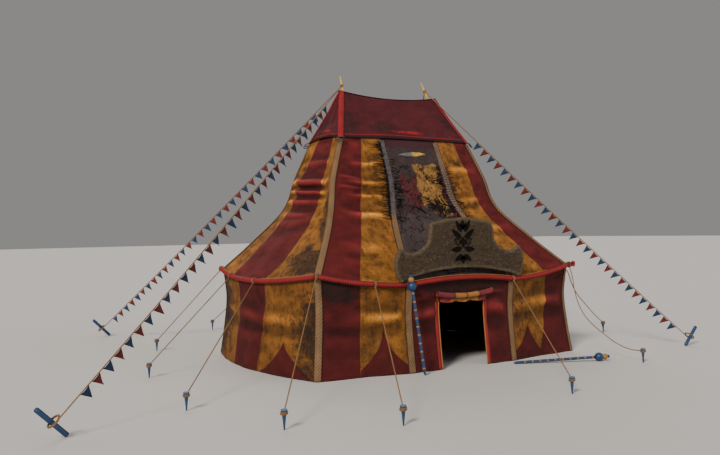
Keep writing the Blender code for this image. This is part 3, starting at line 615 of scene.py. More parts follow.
def spike_growth():
    """A small tapered piece on every point of the guide, along the point's own direction."""
    tree = Growth("Pieces on points", {"Foot radius": 0.004, "Tip radius": 0.004, "Length": 0.05,
                                       "Sides": 6, "Tilt": 0.0, "Seed": 1})
    cone = tree.add("GeometryNodeMeshCone", {"fill_type": "TRIANGLE_FAN"}, {
        "Vertices": tree.given("Sides"), "Radius Top": tree.given("Tip radius"),
        "Radius Bottom": tree.given("Foot radius"), "Depth": tree.given("Length")}).outputs[0]
    tilt = tree.given("Tilt")
    most = tree.add("ShaderNodeCombineXYZ", None, {0: tilt, 1: tilt, 2: tilt}).outputs[0]
    least = tree.vector("SCALE", most, scale=-1.0)
    jitter = tree.add("FunctionNodeRandomValue", {"data_type": "FLOAT_VECTOR"},
                      {0: least, 1: most, "Seed": tree.given("Seed")}).outputs[0]
    leaning = tree.vector("ADD", tree.stored("way", "FLOAT_VECTOR"), jitter)
    turned = tree.add("FunctionNodeAlignRotationToVector", {"axis": "Z"}, {"Vector": leaning}).outputs[0]
    placed = tree.add("GeometryNodeInstanceOnPoints", None, {
        "Points": tree.guide, "Instance": cone, "Rotation": turned,
        "Scale": tree.stored("grow")}).outputs[0]
    return tree.finish(placed)


def thread_growth():
    """A round thread along every line of the guide, as thick at each point as the guide says."""
    tree = Growth("Tapered threads", {"Radius": 0.01, "Sides": 5})
    return tree.finish(tree.swept(tree.line(), "Radius", Scale=tree.stored("grow"), Fill_Caps=True))


GROWTHS = {"rope": rope_growth, "ribbed": ribbed_growth, "spikes": spike_growth,
           "threads": thread_growth}


@once
def growth(name):
    return GROWTHS[name]()


def grown(name, guide, tree_name, finish, **values):
    """A plain mesh piece that a tree makes from a guide mesh."""
    obj = in_scene(name, guide)
    tree = growth(tree_name)
    modifier = obj.modifiers.new(tree_name, "NODES")
    modifier.node_group = tree
    values["finish"] = finish
    for item in tree.interface.items_tree:
        label = item.name.lower().replace(" ", "_")
        if item.in_out == "INPUT" and label in values:
            modifier[item.identifier] = values[label]
    mesh = applied(obj).data
    mesh.name = name
    mesh.materials.clear()
    mesh.materials.append(finish)
    mesh.polygons.foreach_set("material_index", [0] * len(mesh.polygons))
    mesh.shade_smooth()
    return obj


# Meshes


def in_scene(name, data):
    """A new object in the scene, at the origin."""
    obj = bpy.data.objects.new(name, data)
    bpy.context.scene.collection.objects.link(obj)
    return obj


def applied(obj):
    """The piece with its modifiers made part of its mesh."""
    graph = bpy.context.evaluated_depsgraph_get()
    mesh = bpy.data.meshes.new_from_object(obj.evaluated_get(graph))
    obj.modifiers.clear()
    obj.data = mesh
    return obj


def mesh_piece(name, points, faces, finish=None, uv=None, smooth=True):
    """A piece from points and faces, with a UV place for each point."""
    mesh = bpy.data.meshes.new(name)
    mesh.from_pydata([tuple(map(float, p)) for p in points], [], faces)
    if uv is not None:
        layer = mesh.uv_layers.new(name="share")
        loops = np.empty(len(mesh.loops), np.int32)
        mesh.loops.foreach_get("vertex_index", loops)
        layer.data.foreach_set("uv", np.asarray(uv, np.float32)[loops].ravel())
    mesh.update()
    if smooth:
        mesh.shade_smooth()
    if finish:
        mesh.materials.append(finish)
    return in_scene(name, mesh)


def line_guide(name, points, closed=False):
    mesh = bpy.data.meshes.new(name)
    edges = [(i, i + 1) for i in range(len(points) - 1)]
    if closed:
        edges.append((len(points) - 1, 0))
    mesh.from_pydata([tuple(p) for p in points], edges, [])
    return mesh


def point_guide(name, places):
    """Points for small pieces: each place is (point, direction, size)."""
    mesh = bpy.data.meshes.new(name)
    mesh.from_pydata([tuple(point) for point, _, _ in places], [], [])
    way = mesh.attributes.new("way", "FLOAT_VECTOR", "POINT")
    way.data.foreach_set("vector", [c for _, direction, _ in places for c in direction])
    grow = mesh.attributes.new("grow", "FLOAT", "POINT")
    grow.data.foreach_set("value", [amount for _, _, amount in places])
    return mesh


def thread_guide(name, lines, taper):
    """Many lines in one guide, each with a thickness that falls by this share towards its end."""
    points, edges, sizes = [], [], []
    for line in lines:
        first = len(points)
        points += [tuple(p) for p in line]
        edges += [(first + k, first + k + 1) for k in range(len(line) - 1)]
        sizes += [1 - taper * k / (len(line) - 1) for k in range(len(line))]
    mesh = bpy.data.meshes.new(name)
    mesh.from_pydata(points, edges, [])
    mesh.attributes.new("grow", "FLOAT", "POINT").data.foreach_set("value", sizes)
    return mesh


def grid_faces(rows, columns, opening=None):
    """The faces of a grid of points, all facing out where across goes left to right. The opening is
    a first row, a first column and the column after its last."""
    lintel, left, right = opening or (rows, 0, 0)
    faces = []
    for r in range(rows - 1):
        for c in range(columns - 1):
            if r >= lintel and left <= c < right:
                continue
            a, b = r * columns + c, (r + 1) * columns + c
            faces.append((a, b, b + 1, a + 1))
    return faces


def joined(name, objects):
    """One piece made of several."""
    mesh = bpy.data.meshes.new(name)
    bm = bmesh.new()
    finishes = []
    for obj in objects:
        first = len(bm.faces)
        bm.from_mesh(obj.data)
        bm.faces.ensure_lookup_table()
        finish = obj.data.materials[0] if obj.data.materials else None
        if finish not in finishes:
            finishes.append(finish)
        for face in bm.faces[first:]:
            face.material_index = finishes.index(finish)
        bpy.data.objects.remove(obj)
    bm.to_mesh(mesh)
    bm.free()
    for finish in finishes:
        mesh.materials.append(finish)
    return in_scene(name, mesh)


def solid(obj, thickness, offset=-1.0):
    """The piece with a thickness, inwards from its surface or to both sides."""
    modifier = obj.modifiers.new("thickness", "SOLIDIFY")
    modifier.thickness = thickness
    modifier.offset = offset
    return obj


def ring_faces(rings, sides, closed=False):
    """The faces of a tube of rings. Its ends are shut, unless it is closed on itself."""
    faces = []
    for i in range(rings if closed else rings - 1):
        j = (i + 1) % rings
        for k in range(sides):
            m = (k + 1) % sides
            faces.append((i * sides + k, i * sides + m, j * sides + m, j * sides + k))
    if not closed:
        faces.append(tuple(range(sides))[::-1])
        faces.append(tuple((rings - 1) * sides + k for k in range(sides)))
    return faces


def tube(name, points, radii, finish, sides=12, closed=False):
    """A round tube along these points. radii is one radius, or one for each point."""
    points = [Vector(p) for p in points]
    count = len(points)
    if not hasattr(radii, "__len__"):
        radii = [radii] * count
    rings = []
    uv = []
    side = None
    length = 0.0
    for i, point in enumerate(points):
        before = points[i - 1] if i or closed else point
        after = points[(i + 1) % count] if i < count - 1 or closed else point
        tangent = (after - before).normalized()
        if side is None:
            side = tangent.orthogonal().normalized()
        side = (side - tangent * side.dot(tangent)).normalized()
        other = tangent.cross(side)
        length += (point - points[i - 1]).length if i else 0
        for k in range(sides):
            angle = 2 * math.pi * k / sides
            rings.append(point + (side * math.cos(angle) + other * math.sin(angle)) * radii[i])
            uv.append((k / sides, length))
    return mesh_piece(name, rings, ring_faces(count, sides, closed), finish, uv)


def turned(name, profile, foot, head, finish, sides=28):
    """The profile, as (radius, height) points from the foot up, turned about the line to the head."""
    turn = (head - foot).to_track_quat("Z", "Y").to_matrix()
    points, uv = [], []
    for radius, height in profile:
        for k in range(sides):
            angle = 2 * math.pi * k / sides
            flat = Vector((radius * math.cos(angle), radius * math.sin(angle), height))
            points.append(turn @ flat + foot)
            uv.append((k / sides, height))
    return mesh_piece(name, points, ring_faces(len(profile), sides), finish, uv)


def keep(obj, slot, *nodes):
    """Lets a finished piece ride on the tent and puts it in place of solids. Its slot is not used."""
    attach(obj, "root")
    if nodes:
        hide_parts(*nodes)
    return obj


# The tent's surfaces


def smooth_value(table, at):
    """The value at a place in a table of (place, value), on a smooth curve through them all."""
    at = min(max(at, table[0][0]), table[-1][0])
    for i in range(len(table) - 1):
        (a, low), (b, high) = table[i], table[i + 1]
        if at > b:
            continue
        before = table[max(i - 1, 0)]
        after = table[min(i + 2, len(table) - 1)]
        start = (high - before[1]) / (b - before[0]) * (b - a)
        end = (after[1] - low) / (after[0] - a) * (b - a)
        t = (at - a) / (b - a)
        return (low * (2 * t**3 - 3 * t**2 + 1) + high * (3 * t**2 - 2 * t**3)
                + start * (t**3 - 2 * t**2 + t) + end * (t**3 - t**2))
    return table[-1][1]


def roof_seam(seam, share):
    """A point of a roof seam, in the tent's own frame, from the crown (0) to the eave (1)."""
    name, side, depth, inner = SEAMS[seam]
    out = smooth_value(ROOF_FLARE, share)
    if inner:
        eave = EAVE_MID
        top_x, spreads = INNER_SEAMS[side]
        x = top_x + (eave.x - top_x) * smooth_value(spreads, share)
    else:
        eave = EAVE_CORNER
        x = ROOF_TOP_CORNER.x + (eave.x - ROOF_TOP_CORNER.x) * out
    if name == "front_left_corner":
        x += smooth_value(LEFT_HIP_BULGE, share)
    y = ROOF_TOP_CORNER.y + (eave.y - ROOF_TOP_CORNER.y) * out
    z = ROOF_TOP_CORNER.z + (eave.z - ROOF_TOP_CORNER.z) * share
    if share < 0:
        x, y = x * (1 + TUCK_X * share), y * (1 + TUCK_Y * share)
    return Vector((side * x, depth * y, z))


def wall_seam(seam, share):
    """A point of a wall seam, from the eave (0) to the hem (1)."""
    _, side, depth, inner = SEAMS[seam]
    eave = EAVE_MID if inner else EAVE_CORNER
    out = smooth_value(WALL_FLARE, share)
    along = 0 if inner else out
    height = HEM_LIFT + (eave.z - EAVE_LAP - HEM_LIFT) * (1 - share)
    return Vector((side * (eave.x + along), depth * (eave.y + out), height))


def crown_seam(corner, share):
    """A point of a crown corner, from the ridge (0) to the crown's edge (1)."""
    side, depth = [(-1, -1), (1, -1), (1, 1), (-1, 1)][corner]
    point = RIDGE_END.lerp(CROWN_EDGE, smooth_value(CROWN_FLARE, share))
    height = RIDGE_END.z + (CROWN_EDGE.z - RIDGE_END.z) * share
    return Vector((side * point.x, depth * point.y, height))


@once
def roof_row(bay, down):
    """A row of a roof panel: its ends, how far it swells and how far it sags."""
    shape = BAYS[bay][1]
    height = max(down, 0)
    return (roof_seam(bay, down), roof_seam((bay + 1) % 8, down),
            shape["eave_bulge"] * height**1.5, shape["sag"] * height**2)


@once
def wall_row(bay, down):
    shape = BAYS[bay][1]
    bulge = shape["eave_bulge"] + (shape["base_bulge"] - shape["eave_bulge"]) * down
    return wall_seam(bay, down), wall_seam((bay + 1) % 8, down), bulge, shape["sag"] * (1 - down)


@once
def crown_row(side, down):
    long_side = side in (0, 2)
    sag = RIDGE_SAG * (1 - down) ** 1.5 if long_side else 0
    lift = (CROWN_SIDE_LIFT if long_side else CROWN_END_LIFT) * down**3
    return crown_seam(side, down), crown_seam((side + 1) % 4, down), 0, sag - lift


def outward(start, end):
    return Vector((end.y - start.y, start.x - end.x, 0)).normalized()


def on_row(row, share):
    """A point of a row, in the frame of the solids."""
    start, end, bulge, sag = row
    swell = 4 * share * (1 - share)
    point = start.lerp(end, share) + outward(start, end) * (bulge * swell) + TENT_CENTRE
    point.z -= sag * swell
    return point


def facing(points):
    """The outward direction at every point of a grid."""
    normals = np.cross(np.gradient(points, axis=0), np.gradient(points, axis=1))
    return normals / np.maximum(np.linalg.norm(normals, axis=2, keepdims=True), 1e-9)


def rise(value, start, width):
    """0 below start, 1 above start + width, and smooth between."""
    t = min(max((value - start) / width, 0.0), 1.0)
    return t * t * (3 - 2 * t)


def hump(away, width):
    """A soft bump: 1 in its middle, near 0 two widths away."""
    return math.exp(-((away / width) ** 2))


def waver(x, y, z):
    """Smooth noise, from -1 to 1."""
    return noise.noise(Vector((x, y, z)))


def torn_edge(place, falloff, octaves):
    """Noise of several sizes."""
    return noise.fractal(Vector(place), falloff, 2.1, octaves)


def patch(share, down, patches):
    """How deep in these soft patches a place lies, with a torn outline."""
    torn = torn_edge((share * 9, down * 14, 3.1), 0.8, 4)
    depth = 0.0
    for across, low, reach, drop, strength in patches:
        away = math.hypot((share - across) / reach, (down - low) / drop)
        depth = max(depth, strength * rise(1.25 - away + torn * 0.3, 0.0, 0.8))
    return depth


def blurred(heights, reach):
    """The heights averaged over some rows up and down."""
    padded = np.pad(heights, ((reach, reach), (0, 0)), "edge")
    return sum(padded[k:k + len(heights)] for k in range(2 * reach + 1)) / (2 * reach + 1)


def panel(name, row_of, number, places, fold, finish, opening=None, reach=10):
    """A sheet of canvas over a grid of (across, down) places, pushed out by its folds. How far each
    point stands out from the average of the rows within reach is painted on it, so that the tops of
    its folds are painted lighter as highlights and its hollows darker as painted shade. The opening,
    if any, is open from a row down, between two columns."""
    points = np.array([[on_row(row_of(number, down), across) for across, down in row]
                       for row in places])
    normals = facing(points)
    width = float(np.linalg.norm(np.diff(points[-1], axis=0), axis=1).sum())
    heights = np.array([[fold(across, down, width) for across, down in row] for row in places])
    points = points + normals * heights[..., None]
    ridges = heights - blurred(heights, reach)
    points[..., 2] = np.maximum(points[..., 2], CLEAR_OF_FLOOR)
    rows, columns = points.shape[:2]
    flat = np.array(places, np.float32).reshape(-1, 2)
    obj = mesh_piece(name, points.reshape(-1, 3), grid_faces(rows, columns, opening), finish, flat)
    # Painted light and shade: how far each point stands out over the rows around it, for lighter tops of
    # folds and darker hollows
    paint_points(obj, "crest", np.clip(ridges / FOLD_HIGHLIGHT_HEIGHT, *FOLD_LIGHT_AND_SHADE_RANGE))
    return solid(obj, settings().canvas.thickness)


def paint_points(obj, name, values):
    layer = obj.data.attributes.new(name, "FLOAT", "POINT")
    layer.data.foreach_set("value", np.asarray(values, np.float32).ravel())


def clear_of_seams(share, width, start=0.15, reach=0.4):
    """0 near a panel's seams, 1 away from them."""
    return rise(min(share, 1 - share) * width, start, reach)


def roof_fold(bay):
    """How far the canvas of a roof panel stands out, by its place."""
    name = BAYS[bay][0]
    folds = ROOF_FOLDS.get(name, OTHER_ROOF_FOLDS)
    scale = settings().canvas.fold_height

    def height(share, down, width):
        drift = waver(share * 2.2 + bay * 5, down * 2.5, 0.4)
        out = 0.045 * waver(share * 2.6 + bay * 9, down * 7.0, 1.7)
        out += 0.016 * waver(share * 7.0 + bay * 3, down * 26.0, 7.7)
        out += 0.022 * math.sin(share * width * 3.3 + bay + drift * 3) * rise(down, 0.55, 0.45)
        for centre, half, at, thick, tall, tilt in folds:
            inside = max(0.0, 1 - ((share - centre) / half) ** 2)
            line = down - at - tilt * (share - centre) + 0.016 * drift
            out += tall * inside * hump(line, thick)
        ends = rise(down, 0.0, 0.04) * rise(1 - down, 0.0, 0.05)
        return scale * out * ends * clear_of_seams(share, width)

    return height


def wall_fold(bay):
    """How far the canvas of a wall stands out, by its place."""
    scale = settings().canvas.fold_height

    def height(share, down, width):
        along = share * width
        drift = waver(along * 0.5 + bay * 4, down * 1.2, 2.4)
        out = 0.02 * math.sin(along * 4.6 + bay * 2 + drift * 4) * rise(down, 0.1, 0.7)
        out += 0.05 * waver(along * 0.9 + bay * 7, down * 2.6, 5.1)
        swell = 0.45 + 1.1 * waver(along * 0.7 + bay * 3, 0.3, 8.8)
        out += 0.085 * hump(down - 0.37 + 0.1 * drift, 0.055) * swell
        out -= 0.03 * hump(down - 0.52 + 0.05 * drift, 0.06)
        out += 0.012 * waver(along * 3.0 + bay, down * 9.0, 0.3)
        # A narrow fold beside the rolled flap on the front wall; its top is painted as a bright red
        # highlight
        if bay == 1:
            out += 0.055 * hump(down - 0.16 + 0.03 * drift, 0.016)
        return scale * out * rise(down, 0.0, 0.12) * clear_of_seams(share, width, 0.14, 0.25)

    return height


@once
def canvas_finish(kind, part):
    """Worn canvas in red and yellow stripes, with grime, fading, weave and soot, painted highlights on
    the tops of its folds, painted shade in their hollows, and painted shade over the walls.
    """
    starts_yellow, changes, spike = (ROOF_STRIPES if part == "roof" else WALL_STRIPES)[kind]
    look = settings().canvas
    f = Finish(f"{kind} {part} canvas")
    across, down = f.axis(f.uv, 0), f.axis(f.uv, 1)
    wander = f.noise(1.6, 3) - 0.5
    across_now = across + wander * 0.018
    yellow = 1.0 if starts_yellow else 0.0
    sign = -1 if starts_yellow else 1
    for a, b, c in changes:
        edge = a + down * b + down * down * c
        yellow = yellow + f.step(across_now - edge, -0.003, 0.006) * sign
        sign = -sign
    if spike:
        tip, top, left, right, foot, curve = spike
        depth = ((down - top) / (foot - top)).clamped()
        half = depth**curve
        reach_left = half * (tip - left)
        reach_right = half * (right - tip)
        inside = (f.step(across_now - tip + reach_left, 0.0, 0.006)
                  * f.step(tip + reach_right - across_now, 0.0, 0.006) * f.step(down, top, 0.01))
        yellow = yellow * (1 - inside)
    if kind == "door":
        yellow = yellow * f.step(down, DOOR_STRIPES_FROM, 0.02)
    colour = f.mixed(yellow, (*look.red, 1), (*look.yellow, 1))
    clouds = f.noise(0.9, 6, 0.62)
    # Painted shade: the walls get the same canvas, painted darker
    painted_wall_shade = WALL_SHADE if part == "wall" else 1.0
    colour = f.shaded(colour, (0.42 + clouds * 1.1) * painted_wall_shade)
    streaks = f.grain((5.0, 5.0, 0.8), 5, 0.6)
    spots = f.noise(4.5, 8, 0.75)
    grime = ((streaks * 0.55 + spots * 0.8 - 0.63) * 5).clamped() * (0.35 + yellow * 0.65)
    colour = f.mixed(grime * look.grime, colour, (0.042, 0.017, 0.007))
    specks = f.flecks(f.noise(15.0, 6, 0.75), 0.55, 8) * (0.4 + yellow * 0.6)
    colour = f.mixed(specks * 0.6, colour, (0.03, 0.012, 0.006))
    # Painted highlights on the tops of the folds and painted shade in their hollows; the rubbed wear
    # lightens patches everywhere, and more on the tops of folds as part of the painted highlight
    crest = f.painted("crest")
    rubbed = f.flecks(f.noise(7.0, 5, 0.7, f.stretched((1.0, 1.0, 2.6))), 0.58, 6)
    colour = f.shaded(colour, 0.92 + crest * 1.2 + rubbed * (0.3 + crest * 0.8))
    # The soot also carries a thin painted shade in one fold hollow of the left end's roof
    soot = f.painted("soot")
    crumbs = f.noise(9.0, 8, 0.75)
    fine = f.noise(28.0, 5, 0.7)
    sooty = ((soot * 1.25 + (crumbs - 0.5) * 1.7 + (fine - 0.5) * 1.1 - 0.45) * 1.3).clamped()
    colour = f.mixed(sooty * 0.88, colour, (0.016, 0.01, 0.008))
    weave = f.noise(42.0, 2, 0.6)
    colour = f.shaded(colour, 0.72 + weave * 0.56)
    creases = f.grain((2.6, 2.6, 4.5), 6, 0.6)
    rough = f.bump(creases, 0.8, 0.07)
    normal = f.bump(weave + crumbs * 0.8, 0.45, 0.01, rough)
    return f.done(colour, 0.72 + crumbs * 0.2, normal, Specular_IOR_Level=0.22)


def crown_finish():
    """Faded maroon canvas, mottled, with bright red rubbed streaks and a dark hem."""
    look = settings().canvas
    f = Finish("faded crown canvas")
    across, down = f.axis(f.uv, 0), f.axis(f.uv, 1)
    clouds = f.noise(1.3, 6, 0.65)
    colour = f.shaded((*look.maroon,), 0.35 + clouds * 1.2)
    fade = f.flecks(f.noise(2.4, 6, 0.7, f.stretched((1.2, 1.2, 3.0))), 0.52, 3.5)
    colour = f.mixed(fade * 0.4, colour, (0.105, 0.055, 0.052))
    mottle = f.flecks(f.noise(6.0, 8, 0.75), 0.5, 5)
    colour = f.mixed(mottle * 0.55, colour, (0.028, 0.012, 0.014))
    streak = (f.step(0.042 - abs(down - 0.84 - (across - 0.5) * 0.06), 0.0, 0.03)
              * f.step(0.15 - abs(across - 0.52), 0.0, 0.06)
              * f.flecks(f.noise(14.0, 4), 0.32, 4))
    colour = f.mixed(streak * 0.85, colour, (0.42, 0.016, 0.022))
    hem = f.step(down, 0.945, 0.012)
    colour = f.mixed(hem, colour, (0.028, 0.008, 0.01))
    line = f.step(down, 0.915, 0.008) * f.step(0.935 - down, 0.0, 0.008)
    colour = f.mixed(line * 0.9, colour, (0.3, 0.014, 0.02))
    soot = f.painted("soot")
    crumbs = f.noise(8.0, 7, 0.72)
    sooty = ((soot * 1.4 + (crumbs - 0.5) * 1.2 - 0.35) * 1.6).clamped()
    colour = f.mixed(sooty * 0.8, colour, (0.014, 0.01, 0.01))
    creases = f.grain((2.4, 2.4, 5.0), 6, 0.6)
    rough = f.bump(creases, 0.6, 0.05)
    normal = f.bump(f.noise(42.0, 2) + crumbs, 0.45, 0.01, rough)
    return f.done(colour, 0.68 + crumbs * 0.24, normal, Specular_IOR_Level=0.25)


def webbing_finish():
    """Woven webbing with a diagonal twill, dark edges and dirt; charred to a grey in places."""
    look = settings().trim
    f = Finish("tan seam webbing")
    across, along = f.axis(f.uv, 0), f.axis(f.uv, 1)
    wave = f.math("SINE", (along * 9.0 + across * 3.0) * (2 * math.pi))
    clouds = f.noise(2.2, 6, 0.65)
    base = f.shaded((*look.tan,), (0.38 + clouds * 0.68) * (1 + wave * 0.3))
    dirt = f.flecks(f.noise(5.0, 6, 0.7, f.stretched((1, 1, 0.5))), 0.55, 5)
    base = f.mixed(dirt * 0.55, base, (0.06, 0.034, 0.018))
    soot = f.painted("soot")
    crumbs = f.noise(11.0, 6, 0.7)
    ash = f.shaded((0.088, 0.085, 0.095), 0.4 + crumbs * 1.1)
    burnt = f.mixed(f.flecks(f.noise(7.0, 6, 0.75), 0.5, 7), ash, (0.016, 0.015, 0.018))
    sooty = ((soot * 1.6 + (crumbs - 0.5) * 1.2 - 0.4) * 1.8).clamped()
    base = f.mixed(sooty * 0.9, base, burnt)
    edge = f.step(abs(across - 0.5), 0.4, 0.02)
    base = f.mixed(edge * 0.93, base, (*look.dark,))
    normal = f.bump(wave * 0.5 + crumbs, 0.6, 0.01)
    return f.done(base, 0.72 + crumbs * 0.2, normal, Specular_IOR_Level=0.25)


@once
def band_finish():
    """Bright red webbing, worn darker in patches, with dark edges."""
    f = Finish("bright red webbing")
    across = f.axis(f.uv, 0)
    clouds = f.noise(2.6, 6, 0.68)
    base = f.shaded((*settings().trim.red,), 0.45 + clouds * 1.05)
    wear = f.flecks(f.noise(6.0, 6, 0.72), 0.56, 5)
    base = f.mixed(wear * 0.6, base, (0.055, 0.01, 0.012))
    edge = f.step(abs(across - 0.5), 0.44, 0.02)
    base = f.mixed(edge * 0.9, base, (0.022, 0.008, 0.008))
    crumbs = f.noise(40.0, 3)
    normal = f.bump(crumbs + clouds * 2, 0.4, 0.01)
    return f.done(base, 0.55 + crumbs * 0.25, normal, Specular_IOR_Level=0.4)


@once
def roll_finish():
    """The red cloth of the eave roll, with painted shade between its ribs."""
    f = Finish("red eave roll cloth")
    clouds = f.noise(3.0, 5, 0.65)
    base = f.shaded((*settings().trim.red,), 0.5 + clouds * 0.95)
    # Painted shade between the ribs: darker where the rib wave dips
    base = f.shaded(base, 0.9 + f.painted("rib") * 0.3)
    worn = f.flecks(f.noise(12.0, 5, 0.7), 0.56, 6)
    base = f.mixed(worn * 0.75, base, (0.04, 0.008, 0.008))
    normal = f.bump(f.noise(50.0, 3), 0.4, 0.008)
    return f.done(base, 0.5 + clouds * 0.3, normal, Specular_IOR_Level=0.4)


def plain_finish(name, colour, roughness, speckle=14.0, depth=0.35, relief=0.006, **constants):
    """A plain finish with cloudy shade, wear and a fine relief."""
    f = Finish(name)
    clouds = f.noise(speckle * 0.22, 6, 0.65)
    crumbs = f.noise(speckle, 5, 0.7)
    base = f.shaded((*colour,), 1 - depth + (clouds + crumbs) * depth)
    normal = f.bump(crumbs, 0.5, relief)
    return f.done(base, (roughness - 0.08) + crumbs * 0.16, normal, **constants)


def paint_finish(name, colour, chipped):
    """Gloss paint, scuffed and chipped here and there."""
    f = Finish(name)
    clouds = f.noise(5.0, 5, 0.6)
    base = f.shaded((*colour,), 0.65 + clouds * 0.7)
    chips = f.flecks(f.noise(22.0, 5, 0.7), 0.62, 12)
    base = f.mixed(chips * 0.75, base, chipped)
    normal = f.bump(f.noise(30.0, 4) - chips * 0.6, 0.35, 0.004)
    return f.done(base, 0.3 + clouds * 0.2 + chips * 0.3, normal, Specular_IOR_Level=0.5)


@once
def rope_finish():
    f = Finish("twisted hemp rope")
    clouds = f.noise(3.0, 5, 0.65)
    fibres = f.grain((120.0, 120.0, 60.0), 4, 0.7)
    base = f.shaded((*settings().ropes.tan,), 0.5 + clouds * 0.55 + fibres * 0.45)
    normal = f.bump(fibres, 0.6, 0.003)
    return f.done(base, 0.8 + fibres * 0.15, normal, Specular_IOR_Level=0.25)


@once
def blue_finish():
    return paint_finish("blue gloss paint", settings().paint.blue, (0.06, 0.045, 0.035))


@once
def gold_finish():
    return paint_finish("gold paint", settings().paint.gold, (0.1, 0.05, 0.02))


@once
def dark_finish():
    return plain_finish("dark leather", (0.022, 0.014, 0.011), 0.6, 30.0)


# Ropes


def roll_point(bay, share):
    """A point on the middle line of the eave roll."""
    point = on_row(roof_row(bay, 1), share)
    if share:
        before, after = (on_row(roof_row(bay, 1), share + k) for k in (-0.01, 0.01))
        out = outward(before, after)
    else:
        before = outward(on_row(roof_row((bay - 1) % 8, 1), 0.97), point)
        out = (before + outward(point, on_row(roof_row(bay, 1), 0.03))).normalized()
    return point + out * EAVE_ROLL_OUT - Vector((0, 0, EAVE_ROLL_DROP))


def smooth_route(route, count):
    """Evenly spaced points on a smooth curve through the route."""
    along = [0.0]
    for a, b in zip(route, route[1:]):
        along.append(along[-1] + (b - a).length)
    tables = [[(s, point[axis]) for s, point in zip(along, route)] for axis in range(3)]
    return [Vector([smooth_value(table, along[-1] * k / (count - 1)) for table in tables])
            for k in range(count)]


def peg_piece(name, foot):
    """A turned peg that stands on the ground."""
    place = TENT_CENTRE + Vector((*foot, 0))
    profile = [(PEG_RADIUS * wide, PEG_HEIGHT * high) for wide, high in PEG_OUTLINE]
    profile = [(max(radius, 0.001), height) for radius, height in profile]
    return turned(f"{name}_peg_painted", profile, place, place + UP, peg_finish(), 24)


@once
def peg_finish():
    """Blue paint with a pale worn rim round the head."""
    f = Finish("blue peg paint")
    height = f.axis(f.uv, 1)
    clouds = f.noise(9.0, 5, 0.65)
    base = f.shaded((*settings().paint.blue,), 0.6 + clouds * 0.9)
    rim = f.step(height, PEG_HEIGHT * 0.95, 0.01) * (0.6 + clouds * 0.4)
    base = f.mixed(rim.clamped(), base, (0.1, 0.17, 0.26))
    foot = f.step(0.1 - height, 0.0, 0.08)
    base = f.mixed(foot * 0.6, base, (0.05, 0.045, 0.04))
    normal = f.bump(clouds, 0.3, 0.004)
    return f.done(base, 0.3 + clouds * 0.25, normal, Specular_IOR_Level=0.5)


def coil(middle, axis, radius, turns, pitch, steps=28):
    """Points of a coil round an axis."""
    axis = axis.normalized()
    side = axis.orthogonal().normalized()
    other = axis.cross(side)
    count = max(int(turns * steps), 8)
    points = []
    for k in range(count + 1):
        angle = 2 * math.pi * turns * k / count
        lift = (k / count - 0.5) * turns * pitch
        points.append(middle + (side * math.cos(angle) + other * math.sin(angle)) * radius + axis * lift)
    return points


def twisted(name, points, closed=False, scale=1.0):
    """A twisted rope along these points."""
    turns = settings().ropes.turns
    return grown(name, line_guide(name, points, closed), "rope", rope_finish(), turns=turns / scale,
                 lay_radius=0.0095 * scale, strand_radius=0.0085 * scale, step=0.022 * scale)


class BIGTOP_OT_camera(bpy.types.Operator):
    """Set the camera where the photograph was taken from"""

    bl_idname = "bigtop.camera"
    bl_label = "Camera"

    def execute(self, context):
        yaw, pitch, roll = CAMERA_YAW, CAMERA_PITCH, CAMERA_ROLL
        ahead = Vector((math.sin(yaw) * math.cos(pitch), math.cos(yaw) * math.cos(pitch), math.sin(pitch)))
        right = Vector((math.cos(yaw), -math.sin(yaw), 0))
        up = right.cross(ahead)
        right_now = right * math.cos(roll) + up * math.sin(roll)
        up_now = up * math.cos(roll) - right * math.sin(roll)
        data = bpy.data.cameras.new("camera")
        data.lens = CAMERA_LENS
        data.sensor_width = CAMERA_SENSOR
        data.clip_end = 500
        camera = in_scene("camera", data)
        camera.matrix_world = (Matrix.Translation(CAMERA_PLACE)
                               @ Matrix((right_now, up_now, -ahead)).transposed().to_4x4())
        context.scene.camera = camera
        return {"FINISHED"}


class BIGTOP_OT_slack_ropes(bpy.types.Operator):
    """Make the two guy ropes that have come slack, with their pegs"""

    bl_idname = "bigtop.slack_ropes"
    bl_label = "Slack ropes"

    def execute(self, context):
        for name, (bay, share, foot, middle) in SLACK_GUYS.items():
            route = [roll_point(bay, share)]
            route += [Vector(point) + TENT_CENTRE for point in middle]
            axis_end = TENT_CENTRE + Vector((*foot, PEG_HEIGHT * ROPE_ON_PEG))
            route.append(axis_end)
            line = smooth_route(route, 160)
            line = [p for p in line if (p - route[0]).length > EAVE_ROLL_RADIUS + 0.001]
            line = [p for p in line if (p - axis_end).length > PEG_RADIUS * 0.86]
            length = sum((b - a).length for a, b in zip(line, line[1:]))
            rope = twisted(f"{name}_hanging_rope", line)
            keep(rope, "guy_rope", f"{name}_slack_rope")
            tuple(line[0])
            [tuple(p) for p in line]
            keep(peg_piece(name, foot), "blue_paint", f"{name}_peg")
            keep(rope_knots(name, bay, share, foot), "guy_rope")
        return {"FINISHED"}


def rope_knots(name, bay, share, foot):
    """The turns of rope round the eave roll and round the peg's head."""
    middle = roll_point(bay, share)
    tangent = (roll_point(bay, share + 0.02) - middle).normalized()
    round_roll = coil(middle, tangent, EAVE_ROLL_RADIUS + 0.021, 2, 0.036)
    neck = TENT_CENTRE + Vector((*foot, PEG_HEIGHT * 0.8))
    round_peg = coil(neck, UP, PEG_RADIUS * 0.86 + 0.012, 2, 0.034)
    pieces = [twisted(f"{name}_turns_on_roll", round_roll), twisted(f"{name}_turns_on_peg", round_peg)]
    return joined(f"{name}_knots", pieces)


